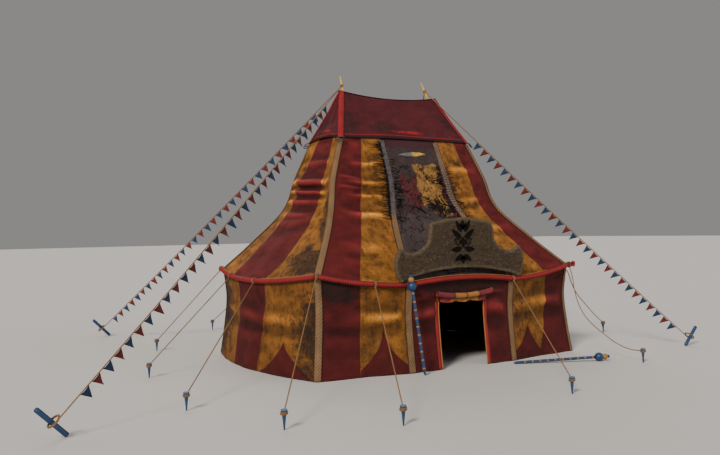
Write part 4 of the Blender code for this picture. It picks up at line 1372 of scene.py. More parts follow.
class BIGTOP_OT_guys(bpy.types.Operator):
    """Make the taut guy ropes, each with its peg and the turns that hold it"""

    bl_idname = "bigtop.guys"
    bl_label = "Guy ropes"

    def execute(self, context):
        for name, (bay, share, foot) in GUYS.items():
            start = roll_point(bay, share)
            end = TENT_CENTRE + Vector((*foot, PEG_HEIGHT * ROPE_ON_PEG))
            along = (end - start).normalized()
            line = [start + along * EAVE_ROLL_RADIUS, end - along * PEG_RADIUS * 0.7]
            rope = twisted(f"{name}_taut_rope", line)
            keep(rope, "guy_rope", f"{name}_guy")
            keep(peg_piece(name, foot), "guy_rope")
            keep(rope_knots(name, bay, share, foot), "guy_rope")
        return {"FINISHED"}


# Canvas


def even(count, low=0.0, high=1.0):
    """Evenly spaced numbers, both ends included."""
    return [low + (high - low) * k / (count - 1) for k in range(count)]


def grid_places(columns, rows, top=0.0):
    """Places across and down a panel, from just beside its left seam to just beside its right."""
    return [[(across, down) for across in even(columns, SEAM_GAP, 1 - SEAM_GAP)]
            for down in even(rows, top, 1.0)]


def blacken(obj, places, patches):
    """Marks on a panel's points how sooty they are, and how deep a thin painted shade in a fold's hollow
    is.
    """
    paint_points(obj, "soot", [[patch(across, down, patches) for across, down in row] for row in places])


class BIGTOP_OT_roof(bpy.types.Operator):
    """Make the striped roof panels, all but the burnt one over the doorway"""

    bl_idname = "bigtop.roof"
    bl_label = "Roof"

    def execute(self, context):
        for bay, (name, _) in enumerate(BAYS):
            if name == "front_door":
                continue
            places = grid_places(64, 170, ROOF_TUCK)
            obj = panel(f"{name}_roof_canvas", roof_row, bay, places, roof_fold(bay),
                        canvas_finish(BAY_KINDS[bay], "roof"))
            blacken(obj, places, SOOT_AND_SHADE.get(f"{name}_roof", OTHER_SOOT))
            keep(obj, "striped_canvas", f"{name}_roof")
        return {"FINISHED"}


def door_places():
    """The wall over and beside the doorway: its grid has lines along the doorway's edges."""
    width = 2 * EAVE_MID.x
    left, right = ((x + EAVE_MID.x) / width for x in (DOOR_LEFT, DOOR_RIGHT))
    across = even(16, 0.003, left) + even(26, left, right)[1:] + even(16, right, 0.997)[1:]
    above = [[(x, door_top(x) * k / 8) for x in across] for k in range(8)]
    beside = [[(x, door_top(x) + (1 - door_top(x)) * k / 28) for x in across] for k in range(29)]
    return above + beside, (8, 15, 40)


def door_top(share):
    """How far down the front wall the doorway starts."""
    lift = -CENTRE_BAY["sag"] * 4 * share * (1 - share)
    return round(1 - (DOOR_HEIGHT - HEM_LIFT) / (EAVE_MID.z - EAVE_LAP - HEM_LIFT + lift), 5)


def door_fold(share, down, width):
    """Folds of the front wall, which die out towards the doorway's edges."""
    left, right = DOOR_SIDES
    away = min(abs(share - left), abs(share - right)) * width
    calm = rise(away, 0.03, 0.25)
    return wall_fold(1)(share, down, width) * calm * (0.4 if left < share < right else 1.0)


class BIGTOP_OT_walls(bpy.types.Operator):
    """Make the striped walls, with the doorway in the front one"""

    bl_idname = "bigtop.walls"
    bl_label = "Walls"

    def execute(self, context):
        for bay, (name, _) in enumerate(BAYS):
            kind, fold, places, opening = BAY_KINDS[bay], wall_fold(bay), grid_places(64, 64), None
            if name == "front_door":
                kind, fold = "door", door_fold
                places, opening = door_places()
            obj = panel(f"{name}_wall_canvas", wall_row, bay, places, fold,
                        canvas_finish(kind, "wall"), opening, 8)
            blacken(obj, places, SOOT_AND_SHADE.get(f"{name}_wall", OTHER_SOOT))
            keep(obj, "striped_canvas", f"{name}_wall")
        return {"FINISHED"}


class BIGTOP_OT_crown(bpy.types.Operator):
    """Make the faded crown canvas"""

    bl_idname = "bigtop.crown"
    bl_label = "Crown"

    def execute(self, context):
        finish = crown_finish()
        for side, name in enumerate(CROWN_SIDES):
            def fold(share, down, width):
                out = 0.03 * waver(share * 4 + side * 5, down * 4, 0.9)
                out += 0.01 * waver(share * 10 + side * 5, down * 16, 4.9)
                out += 0.02 * hump(down - 0.8 - 0.06 * math.sin(share * 5), 0.05)
                return out * clear_of_seams(share, width, 0.13, 0.3) * rise(1 - down, 0.0, 0.06)

            places = grid_places(60, 34)
            obj = panel(f"crown_{name}_canvas", crown_row, side, places, fold, finish, reach=4)
            blacken(obj, places, CROWN_SOOT)
            keep(obj, "crown_canvas", f"crown_{name}")
        return {"FINISHED"}


# The burnt bay


def cell_edge(point):
    """How far a point lies from the nearest crack between cells."""
    near = noise.voronoi(point)[0]
    return near[1] - near[0]


def burnt_place(share, down):
    """The colour and the relief of the burnt bay at a place: (colour, height)."""
    torn = torn_edge((share * 7, down * 16, 1.3), 0.85, 5)
    fine = torn_edge((share * 30, down * 70, 5.3), 0.8, 3)
    warp = Vector((torn * 0.5, fine * 0.3, 0))
    crack = cell_edge(Vector((share * 5, down * 11, 0.2)) + warp)
    ash = rise(down + torn * 0.06, 0.5, 0.12) * rise(0.78 - share + torn * 0.15, 0.0, 0.2)
    left_rag = rise(share + torn * 0.08, 0.17, 0.03) * rise(0.47 - share + torn * 0.06, 0.0, 0.03)
    left_rag *= rise(down + torn * 0.05, 0.27, 0.03) * rise(0.53 - down + torn * 0.06, 0.0, 0.04)
    right_rag = rise(share + torn * 0.06, 0.86, 0.03) * rise(down + torn * 0.05, 0.25, 0.03)
    right_rag *= rise(0.6 - down + torn * 0.05, 0.0, 0.04)
    red = max(left_rag * rise(torn + 0.8, 0.0, 0.25), right_rag * rise(torn + 0.8, 0.0, 0.25))
    start = 0.415 + 0.1 * down + torn * 0.045
    stop = 0.895 - 0.06 * down + torn * 0.045
    yellow = rise(share, start, 0.02) * rise(stop - share, 0.0, 0.02)
    yellow *= rise(down + torn * 0.02, 0.165, 0.015) * rise(0.5 - down + torn * 0.045, 0.0, 0.02)
    scrap = math.hypot((share - 0.72 + torn * 0.05) / 0.16, (down - 0.545 - torn * 0.02) / 0.028)
    yellow = max(yellow, rise(1.0 - scrap, 0.0, 0.3))
    slash = abs(math.sin((share * 3.2 - down * 13 + torn * 0.7) * math.pi))
    lash = rise(0.1 - slash, 0.0, 0.05) * rise(down, 0.48, 0.04) * rise(0.6 - share, 0.0, 0.1)
    split = rise(0.05 - crack, 0.0, 0.04) * rise(down, 0.16, 0.05)
    # A lens-shaped painted highlight on a raised wrinkle near the top of the bay: grey-blue on its left,
    # bright yellow on its right
    swell = max(0.0, 1 - ((share - 0.5) / 0.28) ** 2)
    bow = 0.019 * swell - abs(down - 0.105 + 0.02 * (share - 0.5)) + torn * 0.003
    lens = rise(bow, 0.0, 0.005)
    pale = Vector((0.16, 0.15, 0.17)).lerp(Vector((0.62, 0.36, 0.06)), rise(share, 0.46, 0.06))
    band = rise(0.065 - down + torn * 0.01, 0.0, 0.02)
    edge = 1 - rise(min(share, 1 - share), 0.0, 0.03)
    colour = Vector((0.046, 0.027, 0.025)) * (0.85 + 0.4 * fine)
    for layer, cover in (((0.056, 0.043, 0.044), ash * 0.8),
                         (Vector((0.095, 0.01, 0.012)) * (1 + 0.4 * fine), red * 0.9),
                         (Vector((0.34, 0.165, 0.034)) * (0.85 + 0.5 * fine), yellow),
                         ((0.17, 0.016, 0.016), lash * 0.85), ((0.004, 0.003, 0.003), split),
                         (pale, lens), ((0.05, 0.01, 0.013), band),
                         ((0.01, 0.007, 0.007), edge * 0.75)):
        colour = colour.lerp(Vector(layer), cover)
    height = 0.01 + 0.008 * torn + 0.003 * fine
    height += 0.014 * (1 - split) - 0.02 * split - 0.012 * yellow
    height += 0.035 * lens
    return colour, height * (1 - band)


def burnt_finish():
    """The burnt canvas: its painted colour, with charred grain, flakes and dull sheen."""
    f = Finish("burnt canvas")
    colour = f.attribute("burn", "Color")
    grain = f.noise(16.0, 7, 0.72)
    colour = f.shaded(colour, 0.55 + grain * 0.9)
    flakes = f.cells(14.0)
    cracks = f.step(0.06 - flakes, 0.0, 0.05) * f.flecks(f.noise(2.2, 3), 0.42, 5)
    colour = f.mixed(cracks * 0.5, colour, (0.01, 0.007, 0.007))
    relief = f.bump(f.grain((4.0, 4.0, 8.0), 7, 0.7), 0.7, 0.05)
    normal = f.bump(grain - cracks, 0.7, 0.02, relief)
    return f.done(colour, 0.55 + grain * 0.3, normal, Specular_IOR_Level=0.4)


class BIGTOP_OT_burnt_bay(bpy.types.Operator):
    """Make the burnt roof panel over the doorway, with its crust, cracks and rags"""

    bl_idname = "bigtop.burnt_bay"
    bl_label = "Burnt bay"

    def execute(self, context):
        places = grid_places(120, 320, ROOF_TUCK)
        made = [[burnt_place(across, down) for across, down in row] for row in places]
        heights = {place: kept[1] for row, line in zip(places, made) for place, kept in zip(row, line)}
        base = roof_fold(1)

        def fold(share, down, width):
            free = (clear_of_seams(share, width, 0.12, 0.1)
                    * rise(down, 0.0, 0.03) * rise(1 - down, 0.0, 0.03))
            return base(share, down, width) + heights[share, down] * free * 1.4

        obj = panel("front_door_roof_canvas", roof_row, 1, places, fold, burnt_finish())
        layer = obj.data.attributes.new("burn", "FLOAT_COLOR", "POINT")
        flat = [c for row in made for colour, _ in row for c in (*colour, 1.0)]
        layer.data.foreach_set("color", flat)
        keep(obj, "striped_canvas", "front_door_roof")
        return {"FINISHED"}


def thread_lines(bay, downs, near, towards, reach, seed):
    """Lines of charred threads that curl away from a seam over the canvas of a bay."""
    rng = random.Random(seed)
    lines = []
    for down in downs:
        length = reach * rng.uniform(0.5, 1.2)
        fall = rng.uniform(-0.012, 0.04)
        hook = rng.uniform(-0.03, 0.015)
        lift = rng.uniform(0.03, 0.09)
        line = []
        for k in range(8):
            t = k / 7
            row = roof_row(bay, round(down + fall * t + hook * t**3, 5))
            share = near + towards * length * t / (row[1] - row[0]).length
            line.append(on_row(row, share) + FRONT_OUT * (0.025 + lift * math.sin(math.pi * t * 0.8)))
        lines.append(line)
    return lines


def vein_lines(roots, seed):
    """Lines of branching cracks over the burnt bay. Each root is a place across and down, a heading
    in radians from straight across, and how many steps it grows."""
    rng = random.Random(seed)
    shoots = list(roots)
    lines = []
    while shoots:
        share, down, heading, steps = shoots.pop()
        line = []
        for k in range(steps):
            row = roof_row(1, round(down, 5))
            line.append(on_row(row, share) + FRONT_OUT * 0.045)
            heading += rng.uniform(-0.45, 0.45)
            share += 0.055 * math.cos(heading) / (row[1] - row[0]).length
            down -= 0.055 * math.sin(heading) / 5.5
            if not (0.03 < share < 0.97 and 0.08 < down < 0.75):
                break
            if rng.random() < 0.3 and steps - k > 4:
                shoots.append((share, down, heading + rng.choice((-1, 1)) * rng.uniform(0.5, 1.1),
                               (steps - k) // 2 + 1))
        if len(line) > 3:
            lines.append(line)
    return lines


class BIGTOP_OT_charred_threads(bpy.types.Operator):
    """Make the charred threads beside the burnt bay's tapes and the black veins over its crust"""

    bl_idname = "bigtop.charred_threads"
    bl_label = "Charred threads"

    def execute(self, context):
        finish = plain_finish("charred thread", (0.01, 0.008, 0.008), 0.85, 40.0,
                              Specular_IOR_Level=0.15)
        left = thread_lines(0, even(44, 0.15, 0.58), 0.965, -1, 0.5, 3)
        left += thread_lines(0, even(12, 0.02, 0.13), 0.965, -1, 0.45, 5)
        inner = thread_lines(1, even(26, 0.15, 0.6), 0.06, 1, 0.34, 7)
        right = thread_lines(2, even(28, 0.2, 0.58), 0.06, 1, 0.3, 9)
        right += thread_lines(1, even(36, 0.19, 0.6), 0.94, -1, 0.38, 11)
        for name, lines, thick in (("charred_threads_left", left, 0.016),
                                   ("charred_threads_inner", inner, 0.014),
                                   ("charred_threads_right", right, 0.013),
                                   ("burnt_veins", vein_lines(VEIN_ROOTS, 21), 0.02)):
            threads = grown(name, thread_guide(name, lines, 0.75), "threads", finish, radius=thick)
            keep(threads, "striped_canvas")
        return {"FINISHED"}


# Webbing


MENDING_TURNS = 17
MENDING_FROM = 0.225
MENDING_PITCH = 0.0185
MENDING_REACH = 0.13
STRIP = [-1.0, -0.93, -0.82, -0.45, 0.0, 0.45, 0.82, 0.93, 1.0]
STRIP_LIFT = [0.008, 0.024, 0.018, 0.02, 0.022, 0.02, 0.018, 0.024, 0.008]


def strip_rows(parts, half):
    """Rows of points over a seam. Each part is a row function, the panels before and after, and how
    far down its rows are."""
    rows = []
    for row_of, before, after, downs in parts:
        for down in downs:
            left, right = row_of(before, down), row_of(after, down)
            points = []
            for offset in STRIP:
                row = right if offset >= 0 else left
                share = abs(offset) * half / (row[1] - row[0]).length
                points.append(on_row(row, share if offset >= 0 else 1 - share))
            rows.append(points)
    return np.array(rows)


def strip_piece(name, rows, finish, charred=None):
    """Webbing over these rows: raised edges, a UV map across and in metres along. charred says how
    sooty it is at a share of its length."""
    lifts = np.array(STRIP_LIFT)[None, :, None]
    points = rows + facing(rows) * lifts
    middle = points[:, len(STRIP) // 2]
    along = np.concatenate([[0], np.cumsum(np.linalg.norm(np.diff(middle, axis=0), axis=1))])
    uv = [((offset + 1) / 2, length) for length in along for offset in STRIP]
    faces = grid_faces(len(rows), len(STRIP))
    obj = mesh_piece(name, points.reshape(-1, 3), faces, finish, uv)
    soot = [charred(r / (len(rows) - 1)) if charred else 0.0 for r in range(len(rows))]
    paint_points(obj, "soot", np.repeat(soot, len(STRIP)))
    return solid(obj, WEBBING_THICKNESS)


def stitch_places(rows, column, pitch):
    """Places for stitches along one column of a strip."""
    points = [Vector(row[column]) for row in rows]
    normals = facing(rows)[:, column]
    places = []
    travelled = 0.0
    for i in range(len(points) - 1):
        step = points[i + 1] - points[i]
        way = step.normalized()
        while travelled < step.length:
            point = points[i] + way * travelled + Vector(normals[i]) * 0.024
            places.append((point, way, 1.0))
            travelled += pitch
        travelled -= step.length
    return places


class BIGTOP_OT_tapes(bpy.types.Operator):
    """Make the tan webbing over the seams, with its stitches"""

    bl_idname = "bigtop.tapes"
    bl_label = "Seam tapes"

    def execute(self, context):
        trim = settings().trim
        finish = webbing_finish()
        thread = plain_finish("waxed thread", (0.1, 0.065, 0.04), 0.7, 30.0)
        charred = {
            "door_left": lambda share: 1.0 if share < 0.35 else 0.75 * rise(0.42 - share, 0.0, 0.07),
            "door_right": lambda share: 0.35 * rise(0.4 - share, 0.0, 0.1),
        }
        for seam, (name, *_) in enumerate(SEAMS):
            before = (seam - 1) % 8
            parts = [(roof_row, before, seam, even(100, 0.005, 1.0)),
                     (wall_row, before, seam, even(42, 0.02, 1.0))]
            rows = strip_rows(parts, TAPE_HALF_WIDTH)
            tape = strip_piece(f"{name}_webbing", rows, finish, charred.get(name))
            keep(tape, "seam_tape", f"{name}_tape")
            places = (stitch_places(rows, 2, trim.stitch_pitch)
                      + stitch_places(rows, 6, trim.stitch_pitch))
            stitches = grown(f"{name}_stitches", point_guide(name, places), "spikes", thread,
                             foot_radius=0.0045, tip_radius=0.0045, length=trim.stitch_length, sides=5,
                             tilt=0.05, seed=2)
            keep(stitches, "seam_tape")
        self.mend()
        return {"FINISHED"}

    def mend(self):
        """The pale thread that is wound round the burnt bay's right tape."""
        pale = plain_finish("pale mending thread", (0.2, 0.185, 0.165), 0.75, 20.0)
        lines = []
        out = Vector((0.15, -1, 0.45)).normalized()
        for k in range(MENDING_TURNS):
            down = MENDING_FROM + MENDING_PITCH * k
            left, right = roof_row(1, down), roof_row(2, down)
            lower = roof_row(2, down + 0.014)
            a = on_row(left, 1 - MENDING_REACH / (left[1] - left[0]).length)
            b = on_row(lower, MENDING_REACH / (lower[1] - lower[0]).length)
            middle = on_row(right, 0.0)
            line = smooth_route([a + out * 0.006, (a + middle) / 2 + out * 0.045,
                                 (b + middle) / 2 + out * 0.045, b + out * 0.006], 10)
            lines.append(line)
        guide = thread_guide("mending_thread", lines, 0.0)
        thread = grown("mending_thread", guide, "threads", pale, radius=0.011)
        keep(thread, "seam_tape")


class BIGTOP_OT_crown_bands(bpy.types.Operator):
    """Make the bright red bands on the crown's ridge and corners, and the buckles at their feet"""

    bl_idname = "bigtop.crown_bands"
    bl_label = "Crown bands"

    def execute(self, context):
        finish = band_finish()
        pieces = []
        for corner in range(4):
            rows = strip_rows([(crown_row, (corner - 1) % 4, corner, even(40))], TAPE_HALF_WIDTH)
            pieces.append(applied(strip_piece(f"crown_band_{corner}", rows, finish)))
        pieces.append(self.ridge(finish))
        keep(joined("crown_webbing", pieces), "red_band", "crown_bands")
        self.buckles()
        return {"FINISHED"}

    def ridge(self, finish):
        row = crown_row(0, 0)
        rows = []
        for share in even(48):
            point = on_row(row, share)
            point.y = TENT_CENTRE.y
            point.x += RIDGE_BAND_OVERHANG * (2 * share - 1)
            rows.append([point + Vector((0, offset * RIDGE_BAND_HALF_WIDTH, -0.012 * abs(offset) ** 3))
                         for offset in STRIP])
        return applied(strip_piece("ridge_band", np.array(rows), finish))

    def buckles(self):
        """Pairs of dark rings where the bands meet the roof's tapes."""
        rings = []
        for corner, seam in enumerate((0, 3, 4, 7)):
            foot, above = (on_row(crown_row(corner, down), 0.0) for down in (1.0, 0.94))
            out = Vector((SEAMS[seam][1] * 0.75, SEAMS[seam][2], 0.35)).normalized()
            along = (foot - above).normalized()
            across = out.cross(along).normalized()
            for k in range(2):
                middle = foot + out * 0.035 + along * (0.05 + 0.09 * k)
                loop = [middle + across * (BUCKLE_HALF_WIDTH * math.cos(a))
                        + along * (BUCKLE_HALF_HEIGHT * math.sin(a))
                        for a in (2 * math.pi * i / 28 for i in range(28))]
                rings.append(tube(f"buckle_{corner}_{k}", loop, 0.014, dark_finish(), 8, closed=True))
        keep(joined("crown_buckles", rings), "red_band")


class BIGTOP_OT_eave_roll(bpy.types.Operator):
    """Make the ribbed red roll along the eave, with its piping, straps and bow"""

    bl_idname = "bigtop.eave_roll"
    bl_label = "Eave roll"

    def execute(self, context):
        trim = settings().trim
        ring = [roll_point(bay, k / 20) for bay in range(8) for k in range(20)]
        roll = grown("eave_roll_cloth", line_guide("eave_roll_cloth", ring, closed=True), "ribbed",
                     roll_finish(), radius=EAVE_ROLL_RADIUS - 0.005,
                     rib_height=trim.rib_height, rib_pitch=trim.rib_pitch, sides=14)
        keep(roll, "red_band", "eave_roll")
        outs = [outward(ring[i - 1], ring[(i + 1) % len(ring)]) for i in range(len(ring))]
        for name, lift, inset, radius in (("above", 0.062, 0.045, 0.015), ("below", -0.066, 0.03, 0.016)):
            line = [point + UP * lift - out * inset for point, out in zip(ring, outs)]
            keep(tube(f"piping_{name}_roll", line, radius, dark_finish(), 8, closed=True), "red_band")
        gold = plain_finish("yellow piping", settings().canvas.yellow, 0.7, 16.0)
        for bay, low, high in YELLOW_PIPING:
            line = []
            for share in even(31, low, high):
                before, after = (roll_point(bay, min(max(share + k, 0), 0.999)) for k in (-0.02, 0.02))
                point = roll_point(bay, min(share, 0.999))
                line.append(point + UP * 0.082 - outward(before, after) * 0.028)
            keep(tube(f"yellow_piping_{bay}_{round(low * 100)}", line, 0.013, gold, 6), "red_band")
        self.straps()
        self.bow()
        return {"FINISHED"}

    def straps(self):
        """Dark straps round the roll at every seam."""
        pieces = []
        for bay in range(8):
            middle = roll_point(bay, 0.0)
            along = (roll_point(bay, 0.02) - roll_point((bay - 1) % 8, 0.98)).normalized()
            for k in (-1, 1):
                at = middle + along * (0.045 * k)
                loop = coil(at, along, EAVE_ROLL_RADIUS + 0.01, 1, 0.0, 20)[:-1]
                pieces.append(tube(f"strap_{bay}_{k}", loop, 0.011, dark_finish(), 6, closed=True))
        keep(joined("eave_straps", pieces), "red_band")

    def bow(self):
        """The red bow at the front right corner: a knot with two crumpled loops and two tails."""
        middle = roll_point(3, 0.0)
        out = Vector((0.8, -0.6, 0)).normalized()
        side = Vector((0.6, 0.8, 0)).normalized()
        finish = band_finish()
        centre = middle + out * 0.1 + UP * 0.03
        pieces = []
        for way, lift in ((1, 0.5), (-1, 0.5), (1, -0.9), (-1, -0.9)):
            reach = 0.17 if lift > 0 else 0.13
            tip = centre + side * (way * reach) + UP * (lift * reach * 0.7) + out * 0.03
            line = smooth_route([centre, centre.lerp(tip, 0.5) + out * 0.03, tip], 12)
            widths = [0.018 + 0.045 * math.sin(math.pi * k / 11) ** 0.8 for k in range(12)]
            pieces.append(tube(f"bow_{way}_{lift}", line, widths, finish, 12))
        knot = [centre + out * away for away in (-0.045, -0.02, 0.02, 0.045)]
        pieces.append(tube("bow_knot", knot, [0.02, 0.05, 0.05, 0.02], finish, 14))
        keep(joined("corner_bow", pieces), "red_band")


class BIGTOP_OT_hem_fringe(bpy.types.Operator):
    """Make the frayed threads along the walls' hem"""

    bl_idname = "bigtop.hem_fringe"
    bl_label = "Hem fringe"

    def execute(self, context):
        finish = plain_finish("frayed canvas thread", (0.11, 0.055, 0.025), 0.85, 30.0)
        rng = random.Random(12)
        places = []
        for bay in range(8):
            row = wall_row(bay, 1.0)
            count = int((row[1] - row[0]).length / FRINGE_PITCH)
            for k in range(count):
                share = (k + rng.random()) / count
                point = on_row(row, share)
                if bay == 1 and 0.27 < share < 0.73:
                    continue
                out = outward(*row[:2])
                way = (out.x * 0.4, out.y * 0.4, -1.0)
                places.append((point + out * 0.012 + UP * 0.05, way, rng.uniform(0.5, 1.0)))
        guide = point_guide("hem_fringe", places)
        obj = grown("hem_fringe", guide, "spikes", finish, foot_radius=0.005, tip_radius=0.002,
                    length=0.05, sides=4, tilt=0.3, seed=6)
        for vertex in obj.data.vertices:
            vertex.co.z = max(vertex.co.z, 0.001)
        keep(obj, "striped_canvas")
        return {"FINISHED"}


# The doorway


def flap_finish():
    """The rolled flap: red at both ends, yellow in the middle, with creases along it."""
    look = settings().canvas
    f = Finish("rolled flap canvas")
    along = f.axis(f.uv, 0)
    wander = f.noise(9.0, 3) - 0.5
    middle = f.step(along + wander * 0.02, 0.29, 0.01) * f.step(0.75 - along + wander * 0.02, 0.0, 0.01)
    clouds = f.noise(4.0, 6, 0.65)
    base = f.mixed(middle, (*[c * 1.5 for c in look.red], 1), (*look.yellow, 1))
    base = f.shaded(base, 0.5 + clouds * 0.95)
    dirt = f.flecks(f.noise(9.0, 6, 0.7), 0.54, 5)
    base = f.mixed(dirt * 0.7, base, (0.03, 0.012, 0.008))
    creases = f.grain((3.0, 20.0, 20.0), 5, 0.6)
    normal = f.bump(creases, 0.7, 0.02)
    return f.done(base, 0.68 + clouds * 0.2, normal, Sheen_Weight=0.1, Specular_IOR_Level=0.35)


class BIGTOP_OT_door(bpy.types.Operator):
    """Make the rolled door flap, the swag under it, its ties and the doorway's binding"""

    bl_idname = "bigtop.door"
    bl_label = "Doorway"

    def execute(self, context):
        finish = flap_finish()
        route = [TENT_CENTRE + Vector((x, FLAP_Y, z)) for x, z in FLAP_ROUTE]
        line = smooth_route(route, FLAP_POINTS)
        steps = 90
        points, uv = [], []
        for i, middle in enumerate(line):
            along = i / (FLAP_POINTS - 1)
            pinch = 1 - 0.1 * sum(hump(along - tie, 0.012) for tie in FLAP_TIES)
            for share in even(steps):
                angle = -2 * math.pi * FLAP_TURNS * share + 1.9
                radius = FLAP_CORE + (FLAP_RADIUS - FLAP_CORE) * share
                radius += 0.006 * waver(i * 0.12, angle * 1.3, 2.0) * share
                radius *= pinch
                points.append(middle + Vector((0, math.cos(angle) * radius, math.sin(angle) * radius)))
                uv.append((along, share))
        roll = mesh_piece("door_flap_canvas", points, grid_faces(len(line), steps), finish, uv)
        solid(roll, 0.006, 0)
        keep(roll, "flap_canvas", "door_flap_roll")
        self.swag(finish)
        self.ties(line)
        self.binding()
        return {"FINISHED"}

    def swag(self, finish):
        """The loose part of the flap that hangs below the roll in shallow scallops."""
        points, uv = [], []
        rows, columns = 10, 80
        width = DOOR_RIGHT - DOOR_LEFT + 2 * SWAG_SPARE
        for drop in even(rows):
            for share in even(columns):
                x = DOOR_LEFT - SWAG_SPARE + width * share
                scallop = 0.1 + 0.05 * abs(math.sin(share * math.pi * 3)) ** 0.7
                y = FLAP_Y + 0.015 + 0.02 * math.sin(share * 38 + 3 * drop) * drop
                points.append(TENT_CENTRE + Vector((x, y, SWAG_TOP - scallop * drop)))
                uv.append((0.13 + 0.74 * share, drop))
        swag = mesh_piece("door_swag", points, grid_faces(rows, columns), finish, uv)
        solid(swag, 0.004)
        keep(swag, "flap_canvas")

    def ties(self, line):
        """Dark ties round the roll."""
        pieces = []
        for at in FLAP_TIES:
            i = int(at * (FLAP_POINTS - 1))
            along = (line[i + 1] - line[i - 1]).normalized()
            loop = coil(line[i], along, FLAP_RADIUS * 0.9 + 0.01, 1, 0.0, 24)[:-1]
            pieces.append(tube(f"tie_{i}", loop, 0.01, dark_finish(), 6, closed=True))
        keep(joined("flap_ties", pieces), "flap_canvas")

    def binding(self):
        """Yellow binding down both sides of the doorway."""
        gold = plain_finish("yellow door binding", settings().canvas.yellow, 0.7, 16.0)
        for name, x, way in (("left", DOOR_LEFT, -1), ("right", DOOR_RIGHT, 1)):
            share = (x + EAVE_MID.x) / (2 * EAVE_MID.x)
            edges = [share + way * reach / (2 * EAVE_MID.x) for reach in DOOR_BAND_EDGES[::way]]
            line, points = [], []
            for down in even(30, door_top(share), 1.0):
                down = round(down, 5)
                line.append(self.on_wall(share, down) + Vector((way * 0.012, -0.006, 0)))
                points += [self.on_wall(edge, down) - Vector((0, 0.01, 0)) for edge in edges]
            keep(tube(f"door_binding_{name}", line, 0.02, gold, 10), "flap_canvas")
            uv = [(c / 2, r / 10) for r in range(30) for c in range(3)]
            band = mesh_piece(f"door_band_{name}", points, grid_faces(30, 3), band_finish(), uv)
            keep(solid(band, 0.006), "flap_canvas")

    def on_wall(self, share, down):
        """A point on the dressed front wall."""
        row = wall_row(1, down)
        point = on_row(row, share)
        point.y -= door_fold(share, down, (row[1] - row[0]).length)
        point.z = max(point.z, 0.022)
        return point


# The sign


def sign_finish():
    """Rough weathered board: grain along it, speckles, and a paler worn edge."""
    look = settings().sign
    f = Finish("weathered sign board")
    grain = f.grain((2.0, 12.0, 26.0), 6, 0.7)
    crumbs = f.noise(15.0, 8, 0.8)
    blotches = f.noise(2.4, 6, 0.68)
    base = f.shaded((*look.wood,), 0.35 + grain * 0.55 + blotches * 0.75)
    speck = f.flecks(crumbs, 0.53, 9)
    base = f.mixed(speck * 0.65, base, (0.17, 0.125, 0.075))
    pits = ((0.46 - crumbs) * 9).clamped()
    base = f.mixed(pits * 0.85, base, (0.012, 0.008, 0.006))
    edge = f.painted("edge")
    worn = (edge * (crumbs * 3.2 - 0.9)).clamped()
    base = f.mixed(worn * 0.85, base, (*look.edge,))
    relief = f.bump(grain + blotches * 0.5, 0.8, 0.03)
    normal = f.bump(crumbs, 0.9, 0.02, relief)
    return f.done(base, 0.78 + crumbs * 0.16, normal, Specular_IOR_Level=0.25)


def sign_outline(steps=7):
    """The board's outline, smoothed, anticlockwise as seen from the front."""
    half = [Vector((x, z)) for x, z in SIGN_HALF]
    around = half + [Vector((-p.x, p.y)) for p in reversed(half[1:-1])]
    count = len(around)
    points = []
    for i in range(count):
        a, b, c, d = (around[(i + k) % count] for k in (-1, 0, 1, 2))
        for k in range(steps):
            t = k / steps
            points.append(0.5 * ((2 * b) + (c - a) * t + (2 * a - 5 * b + 4 * c - d) * t * t
                                 + (3 * b - a - 3 * c + d) * t**3))
    return points


def slab(name, outline, depth, cut=False):
    """A flat piece with this outline, drawn out along y by a depth."""
    bm = bmesh.new()
    face = bm.faces.new([bm.verts.new(point) for point in outline])
    for item in bmesh.ops.extrude_face_region(bm, geom=[face])["geom"]:
        if isinstance(item, bmesh.types.BMVert):
            item.co.y += depth
    bmesh.ops.recalc_face_normals(bm, faces=bm.faces)
    if cut:
        bmesh.ops.triangulate(bm, faces=bm.faces)
    mesh = bpy.data.meshes.new(name)
    bm.to_mesh(mesh)
    bm.free()
    return in_scene(name, mesh)


def leaf_outline(steps, place):
    """Up one side of a leaf and down the other. place gives the point for a share and a side."""
    up = [place(k / steps, 1) for k in range(steps + 1)]
    return up + [place(1 - k / steps, -1) for k in range(1, steps)]


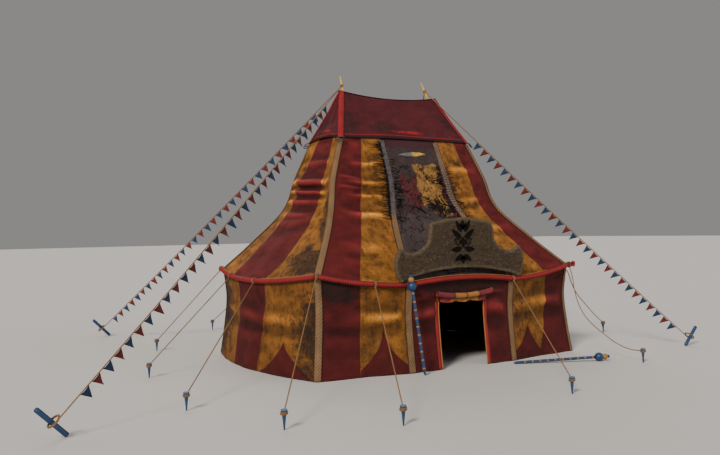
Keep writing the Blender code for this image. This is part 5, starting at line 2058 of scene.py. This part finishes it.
class BIGTOP_OT_sign(bpy.types.Operator):
    """Make the weathered sign board with its painted ornament"""

    bl_idname = "bigtop.sign"
    bl_label = "Sign board"

    def execute(self, context):
        look = settings().sign
        outline = sign_outline()
        front = [(SIGN_X + p.x, SIGN_Y - SIGN_THICKNESS / 2, p.y) for p in outline]
        obj = slab("sign_board_wood", front, SIGN_THICKNESS)
        bevel = obj.modifiers.new("worn edge", "BEVEL")
        bevel.width = look.edge_radius
        bevel.segments = 4
        bevel.limit_method = "ANGLE"
        bevel.angle_limit = math.radians(60)
        remesh = obj.modifiers.new("remesh", "REMESH")
        remesh.mode = "VOXEL"
        remesh.voxel_size = 0.024
        applied(obj)
        self.weather(obj, outline)
        obj.data.transform(Matrix.Translation(TENT_CENTRE))
        obj.data.shade_smooth()
        obj.data.materials.append(sign_finish())
        keep(obj, "sign_wood", "sign_board")
        self.ornament()
        return {"FINISHED"}

    def weather(self, obj, outline):
        """Roughens the board and marks how near each point lies to its edge."""
        mesh = obj.data
        line = np.array([(SIGN_X + p.x, p.y) for p in outline])
        closed = np.vstack([line, line[:1]])
        start, step = closed[:-1], np.diff(closed, axis=0)
        count = len(mesh.vertices)
        places = np.empty(count * 3, np.float32)
        mesh.vertices.foreach_get("co", places)
        places = places.reshape(-1, 3)
        edges = np.empty(count)
        for i, (x, y, z) in enumerate(places):
            away = np.array((x, z)) - start
            t = np.clip((away * step).sum(1) / (step**2).sum(1), 0, 1)
            near = float(np.linalg.norm(away - step * t[:, None], axis=1).min())
            edges[i] = 1 - rise(near, 0.05, 0.08)
            point = Vector((x, y, z))
            grain = torn_edge((x * 1.5, y * 6, z * 14), 0.8, 4)
            lumps = torn_edge(point * 7, 0.8, 4)
            depth = 0.009 * grain + 0.01 * lumps - 0.006
            depth -= 0.05 * max(0.0, waver(*(point * 5.5)) - 0.25) * edges[i]
            middle = Vector((0, y - SIGN_Y, 0)).normalized() if abs(y - SIGN_Y) > 0.02 else Vector()
            inward = Vector((SIGN_X - x, 0, 3.6 - z)).normalized() * edges[i]
            places[i] = point + middle * depth - inward * min(depth, 0.0)
        mesh.vertices.foreach_set("co", places.ravel())
        mesh.update()
        paint_points(obj, "edge", edges)

    def ornament(self):
        """A leafy rosette and scrolls, in dark paint that stands a little proud."""
        finish = plain_finish("dark ornament paint", settings().sign.ornament, 0.9, 30.0, 0.5, 0.01,
                              Specular_IOR_Level=0.1)
        lozenge = [(0, 0.17), (0.1, 0), (0, -0.17), (-0.1, 0)]
        shapes = [[(x * 1.3, z + 3.86) for x, z in lozenge]]
        for height, length, angle, width in ((3.5, 0.4, 50, 0.095), (3.7, 0.44, 22, 0.105),
                                             (4.00, 0.42, -24, 0.1), (4.18, 0.34, -50, 0.09)):
            for side in (-1, 1):
                shapes.append(self.leaf(side, height, length, angle, width))
        for lean in (-28, 0, 28):
            shapes.append(self.upright(4.24, 0.3 if lean == 0 else 0.24, lean))
            shapes.append(self.upright(3.46, -0.26 if lean == 0 else -0.2, lean))
        for side in (-1, 1):
            shapes.append(self.scroll(side, 0.22, 3.86))
        pieces = []
        front = SIGN_Y - SIGN_THICKNESS / 2
        for i, outline in enumerate(shapes):
            points = [TENT_CENTRE + Vector((SIGN_X + x, front + 0.004, z)) for x, z in outline]
            pieces.append(slab(f"ornament_{i}", points, -0.016, cut=True))
            pieces[-1].data.materials.append(finish)
        keep(joined("sign_ornament", pieces), "sign_wood")

    def leaf(self, side, height, length, angle, width):
        """A curved leaf that grows sideways from the middle line."""
        turn = math.radians(angle)

        def place(t, way):
            wide = way * width * math.sin(math.pi * t) ** 0.8 * (1 - 0.4 * t)
            x = 0.05 + t * length * math.cos(turn) + wide * math.sin(turn)
            z = -t * length * math.sin(turn) + wide * math.cos(turn) + 0.1 * t * t
            return side * x, height + z

        return leaf_outline(8, place)[::side]

    def upright(self, height, length, lean):
        """A straight leaf that stands or hangs on the middle line."""
        turn = math.radians(lean)

        def place(t, way):
            wide = way * 0.062 * math.sin(math.pi * t) ** 0.8
            return t * length * math.sin(turn) + wide, height + t * length * math.cos(turn)

        return leaf_outline(7, place)

    def scroll(self, side, x, z):
        """A ribbon that curls into a spiral."""
        inner, outer = [], []
        for k in range(30):
            t = k / 29
            angle = 2 * math.pi * 1.2 * t + 0.4
            radius = 0.13 * (1 - 0.72 * t)
            wide = 0.02 * (1 - 0.5 * t)
            for line, reach in ((inner, radius - wide), (outer, radius + wide)):
                line.append((side * (x + reach * math.cos(angle)), z + reach * math.sin(angle)))
        return inner + outer[::-1]


# Poles, masts and stakes


def pole_profile(length):
    """The outline of a pole's shaft, and how much it is longer than the usual pole."""
    profile = [(0.001, 0.0), (POLE_POINT_RADIUS, 0.004), (0.03, 0.05), (POLE_SHAFT, POLE_POINT)]
    lift = length - POLE_LENGTH
    shaft_top = POLE_BALLS[0][0] - POLE_BALLS[0][1] * 0.94 + lift
    profile += [(POLE_SHAFT, POLE_POINT + (shaft_top - POLE_POINT) * k / 20) for k in range(1, 21)]
    return profile, lift


def ball_profile(height, radius, low):
    """A ball that is cut off at its foot and its head."""
    angles = [math.pi * share for share in even(17, low, 0.9)]
    return [(radius * math.sin(a), height - radius * math.cos(a)) for a in angles]


class BIGTOP_OT_poles(bpy.types.Operator):
    """Make the two blue poles with gold bands and three balls"""

    bl_idname = "bigtop.poles"
    bl_label = "Striped poles"

    def execute(self, context):
        foot = STANDING_POLE_FOOT + TENT_CENTRE
        self.pole("standing_pole", foot, STANDING_POLE_BALL + TENT_CENTRE, POLE_LENGTH)
        ball_height = POLE_BALLS[0][0] + LYING_POLE_LENGTH - POLE_LENGTH
        lift = (POLE_BALLS[0][1] - POLE_SHAFT) / ball_height
        along = (LYING_POLE_HEAD - LYING_POLE_FOOT).normalized()
        foot = TENT_CENTRE + LYING_POLE_FOOT + Vector((0, 0, POLE_SHAFT))
        self.pole("lying_pole", foot, foot + along + Vector((0, 0, lift)), LYING_POLE_LENGTH)
        return {"FINISHED"}

    def pole(self, name, foot, head, length):
        paint = settings().paint
        profile, lift = pole_profile(length)
        pieces = [turned(f"{name}_shaft", profile, foot, head, blue_finish())]
        for i, (height, radius) in enumerate(POLE_BALLS):
            finish = gold_finish() if i == 1 else blue_finish()
            low = 0.1 if i == 0 else 0.14
            ball = ball_profile(height + lift, radius, low)
            pieces.append(turned(f"{name}_ball_{i}", ball, foot, head, finish))
            if i:
                collar = [(radius * wide, height + lift - radius * below)
                          for wide, below in ((0.5, 1.05), (0.62, 1.0), (0.62, 0.86))]
                pieces.append(turned(f"{name}_collar_{i}", collar, foot, head, gold_finish()))
        keep(joined(f"{name}_painted", pieces), "striped_paint", name)
        along = (head - foot).normalized()
        top = POLE_BALLS[0][0] + lift - POLE_BALLS[0][1] - 0.1
        count = int((top - POLE_POINT) / paint.band_pitch)
        places = [(foot + along * (top - paint.band_pitch * k), along, 1.0) for k in range(count + 1)]
        bands = grown(f"{name}_gold_bands", point_guide(name, places), "spikes", gold_finish(),
                      foot_radius=POLE_SHAFT + 0.003, tip_radius=POLE_SHAFT + 0.003,
                      length=paint.band_width, sides=24, tilt=0.0, seed=1)
        keep(bands, "striped_paint")


def mast_finish():
    """Bare wood, with a painted golden glow towards the tip: there it is coloured yellow and gives off
    light.
    """
    f = Finish("mast wood")
    height = f.axis(f.place, 2)
    grain = f.grain((30.0, 30.0, 2.0), 6, 0.65)
    base = f.shaded((0.34, 0.2, 0.055), 0.55 + grain * 0.8)
    # Painted glow: the tip is coloured golden yellow and made to give off light
    tip = f.step(height, 8.95, 0.2)
    base = f.mixed(tip, base, (0.42, 0.24, 0.004))
    glow = f.mixed(tip, (0, 0, 0), (0.52, 0.3, 0.0))
    f.feed(f.shader.inputs["Emission Color"], glow)
    normal = f.bump(grain, 0.4, 0.006)
    return f.done(base, 0.45 + grain * 0.2, normal, Emission_Strength=0.9)


class BIGTOP_OT_masts(bpy.types.Operator):
    """Finish the two masts and wind the pennant ropes round them"""

    bl_idname = "bigtop.masts"
    bl_label = "Masts"

    def execute(self, context):
        finish = mast_finish()
        for line in ("front_left_bunting", "front_right_bunting"):
            name = BUNTING[line][0]
            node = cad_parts[name]
            node.data.materials.clear()
            node.data.materials.append(finish)
            x, tip = MASTS[name]
            turns = coil(bunting_start(line), tip - Vector((x, 0, MAST_LEAN_FROM)), 0.046, 3, 0.036)
            keep(twisted(f"{name}_lashing", turns), "pennant_cloth")
        return {"FINISHED"}


# Pennants


def bunting_start(line):
    """Where a pennant line starts, on its mast's middle line."""
    mast, height = BUNTING[line][:2]
    x, tip = MASTS[mast]
    shoulder = Vector((x, 0, MAST_LEAN_FROM))
    point = shoulder.lerp(tip, (height - MAST_LEAN_FROM) / (tip.z - MAST_LEAN_FROM))
    return point + TENT_CENTRE


def stake_of(line):
    """The ends of a stake's middle line, and the side that its ring is pulled to."""
    foot, head = (Vector(p) + TENT_CENTRE for p in BUNTING[line][2:4])
    axis = (head - foot).normalized()
    lift = Vector((0, 0, STAKE_RADIUS * axis.xy.length))
    towards = bunting_start(line) - (foot + head) / 2 - lift
    pull = (towards - axis * towards.dot(axis)).normalized()
    pull.rotate(Matrix.Rotation(RING_TURN, 3, axis))
    return foot + lift, head + lift, pull


def flag_finish(name, colour):
    f = Finish(name)
    clouds = f.noise(5.0, 6, 0.65)
    base = f.shaded((*colour,), 0.55 + clouds * 0.95)
    dirt = f.flecks(f.noise(13.0, 5, 0.7), 0.56, 6)
    base = f.mixed(dirt * 0.5, base, (0.02, 0.016, 0.014))
    weave = f.noise(90.0, 2)
    normal = f.bump(weave + clouds, 0.4, 0.004)
    return f.done(base, 0.7 + weave * 0.2, normal, Sheen_Weight=0.1, Specular_IOR_Level=0.3)


class BIGTOP_OT_bunting(bpy.types.Operator):
    """Make the four pennant lines with their ropes, rings and stakes"""

    bl_idname = "bigtop.bunting"
    bl_label = "Pennant lines"

    def execute(self, context):
        look = settings().ropes
        finishes = [flag_finish("blue pennant cloth", look.blue_flag),
                    flag_finish("red pennant cloth", look.red_flag)]
        for line in BUNTING:
            start = bunting_start(line)
            foot, head, pull = stake_of(line)
            reach = RING_RADIUS - RING_WIRE - STAKE_RADIUS
            ring_middle = (foot + head) / 2 + pull * reach
            span = ring_middle + pull * RING_RADIUS - start
            self.rope(line, start, span)
            self.flags(line, start, span, finishes)
            self.ring(line, ring_middle, (head - foot).normalized())
            self.stake(line, foot, head)
        return {"FINISHED"}

    def sag(self, share):
        return -BUNTING_SAG * 4 * share * (1 - share)

    def axes(self, span):
        along = span.normalized()
        side = along.cross(Vector((0, 0, 1))).normalized()
        return along, side, side.cross(along)

    def rope(self, line, start, span):
        above = self.axes(span)[2]
        points = [start + span * share + above * self.sag(share) for share in even(41)]
        keep(twisted(f"{line}_rope", points), "pennant_cloth", line)

    def flags(self, line, start, span, finishes):
        """Pennants of thin cloth that flutter a little, blue and red in turn."""
        count, first, last = BUNTING[line][4:7]
        along, side, above = self.axes(span)
        length = span.length
        pitch = length * (last - first) / count
        width = pitch * PENNANT_WIDTH_SHARE
        points, faces, uv, dyes = [], [], [], []
        steps = 6
        rng = random.Random(line)
        grid = grid_faces(steps + 1, steps + 1)
        for k in range(count):
            left = length * first + pitch * k
            swing = rng.uniform(-1, 1)
            phase = rng.uniform(0, 6)
            base = len(points)
            for drop in even(steps + 1):
                for across in even(steps + 1):
                    x = left + width * ((1 - drop) * across + drop * PENNANT_POINT)
                    rope = self.sag(min(x / length, 1)) - BUNTING_ROPE_WIDTH * 0.4
                    out = 0.045 * swing * drop**1.3 + 0.022 * math.sin(across * 5 + phase + drop * 2) * drop
                    lift = rope - PENNANT_DROP * drop - 0.018 * math.sin(across * math.pi) * (1 - drop)
                    points.append(start + along * x + above * lift + side * out)
                    uv.append((across, drop))
            faces += [[base + corner for corner in face] for face in grid]
            dyes += [k % 2] * steps**2
        flags = mesh_piece(f"{line}_flags", points, faces, None, uv)
        for finish in finishes:
            flags.data.materials.append(finish)
        flags.data.polygons.foreach_set("material_index", dyes)
        bm = bmesh.new()
        bm.from_mesh(flags.data)
        bmesh.ops.remove_doubles(bm, verts=bm.verts, dist=1e-5)
        bm.to_mesh(flags.data)
        bm.free()
        solid(flags, 0.003, 0)
        keep(flags, "pennant_cloth")

    def ring(self, line, middle, axis):
        """Three turns of rope in a ring round the stake."""
        pieces = []
        wire = RING_WIRE * 0.52
        for k in range(3):
            angle = 2 * math.pi * k / 3
            radius = RING_RADIUS + wire * math.cos(angle) * 0.95
            shift = wire * math.sin(angle) * 0.95
            loop = coil(middle + axis * shift, axis, radius, 1, 0.0, 36)[:-1]
            pieces.append(twisted(f"{line}_turn_{k}", loop, closed=True, scale=0.85))
        keep(joined(f"{line}_ring", pieces), "pennant_cloth")

    def stake(self, line, foot, head):
        name = line.replace("bunting", "stake")
        length = (head - foot).length
        r = STAKE_RADIUS
        profile = [(r * 0.9, 0.0), (r, 0.012), (r, length * 0.12), (r, length * 0.88),
                   (r, length - 0.02), (r * 0.86, length - 0.004), (r * 0.4, length)]
        keep(turned(f"{name}_painted", profile, foot, head, blue_finish(), 24), "blue_paint", name)


# Stage


class BIGTOP_OT_stage(bpy.types.Operator):
    """Make the pale floor and the soft studio lights"""

    bl_idname = "bigtop.stage"
    bl_label = "Stage"

    def execute(self, context):
        look = settings().stage
        f = Finish("pale studio floor")
        clouds = f.noise(0.15, 3)
        base = f.shaded((*look.floor,), 0.97 + clouds * 0.06)
        f.done(base, 0.9, Specular_IOR_Level=0.2)
        corners = [(x * FLOOR_REACH, y * FLOOR_REACH, 0) for x, y in ((-1, -1), (1, -1), (1, 1), (-1, 1))]
        floor = mesh_piece("floor", corners, [(0, 1, 2, 3)], f.material, smooth=False)
        for name, place, spread, power, colour in LIGHTS:
            self.light(name, Vector(place), spread, power * look.light, colour)
        world = bpy.data.worlds.new("studio")
        world.use_nodes = True
        background = world.node_tree.nodes["Background"]
        background.inputs["Color"].default_value = SKY_COLOUR
        background.inputs["Strength"].default_value = SKY_STRENGTH * look.light
        context.scene.world = world
        return {"FINISHED"}

    def light(self, name, place, spread, power, colour):
        """A far, wide lamp: it lights the floor evenly and softens the shadows by its spread."""
        data = bpy.data.lights.new(name, "SUN")
        data.angle = math.radians(spread)
        data.energy = power
        data.color = colour
        lamp = in_scene(name, data)
        turn = (LIGHTS_AIM - place).to_track_quat("-Z", "Y").to_matrix().to_4x4()
        lamp.matrix_world = Matrix.Translation(place) @ turn


class BIGTOP_PT_pieces(bpy.types.Panel):
    """The big top's pieces, in the order in which they are made"""

    bl_label = "Circus big top"
    bl_idname = "BIGTOP_PT_pieces"
    bl_space_type = "VIEW_3D"
    bl_region_type = "UI"
    bl_category = "Big top"

    def draw(self, context):
        for group in ("canvas", "trim", "ropes", "paint", "sign", "stage"):
            box = self.layout.box()
            box.label(text=group.capitalize())
            look = getattr(context.scene.big_top, group)
            for name in look.__annotations__:
                box.prop(look, name)
        for operator in OPERATORS:
            self.layout.operator(operator.bl_idname)


GROUPS = [BigTopCanvas, BigTopTrim, BigTopRopes, BigTopPaint, BigTopSign, BigTopStage, BigTopSettings]
OPERATORS = [
    BIGTOP_OT_camera,
    BIGTOP_OT_slack_ropes,
    BIGTOP_OT_guys,
    BIGTOP_OT_roof,
    BIGTOP_OT_walls,
    BIGTOP_OT_crown,
    BIGTOP_OT_burnt_bay,
    BIGTOP_OT_charred_threads,
    BIGTOP_OT_tapes,
    BIGTOP_OT_crown_bands,
    BIGTOP_OT_eave_roll,
    BIGTOP_OT_hem_fringe,
    BIGTOP_OT_door,
    BIGTOP_OT_sign,
    BIGTOP_OT_poles,
    BIGTOP_OT_masts,
    BIGTOP_OT_bunting,
    BIGTOP_OT_stage,
]


def register():
    for group in [*GROUPS, *OPERATORS, BIGTOP_PT_pieces]:
        bpy.utils.register_class(group)
    bpy.types.Scene.big_top = bpy.props.PointerProperty(type=BigTopSettings)


def unregister():
    del bpy.types.Scene.big_top
    for group in reversed([*GROUPS, *OPERATORS, BIGTOP_PT_pieces]):
        bpy.utils.unregister_class(group)


def main():
    register()
    for operator in OPERATORS:
        group, name = operator.bl_idname.split(".")
        getattr(getattr(bpy.ops, group), name)()


if __name__ == "__main__":
    main()
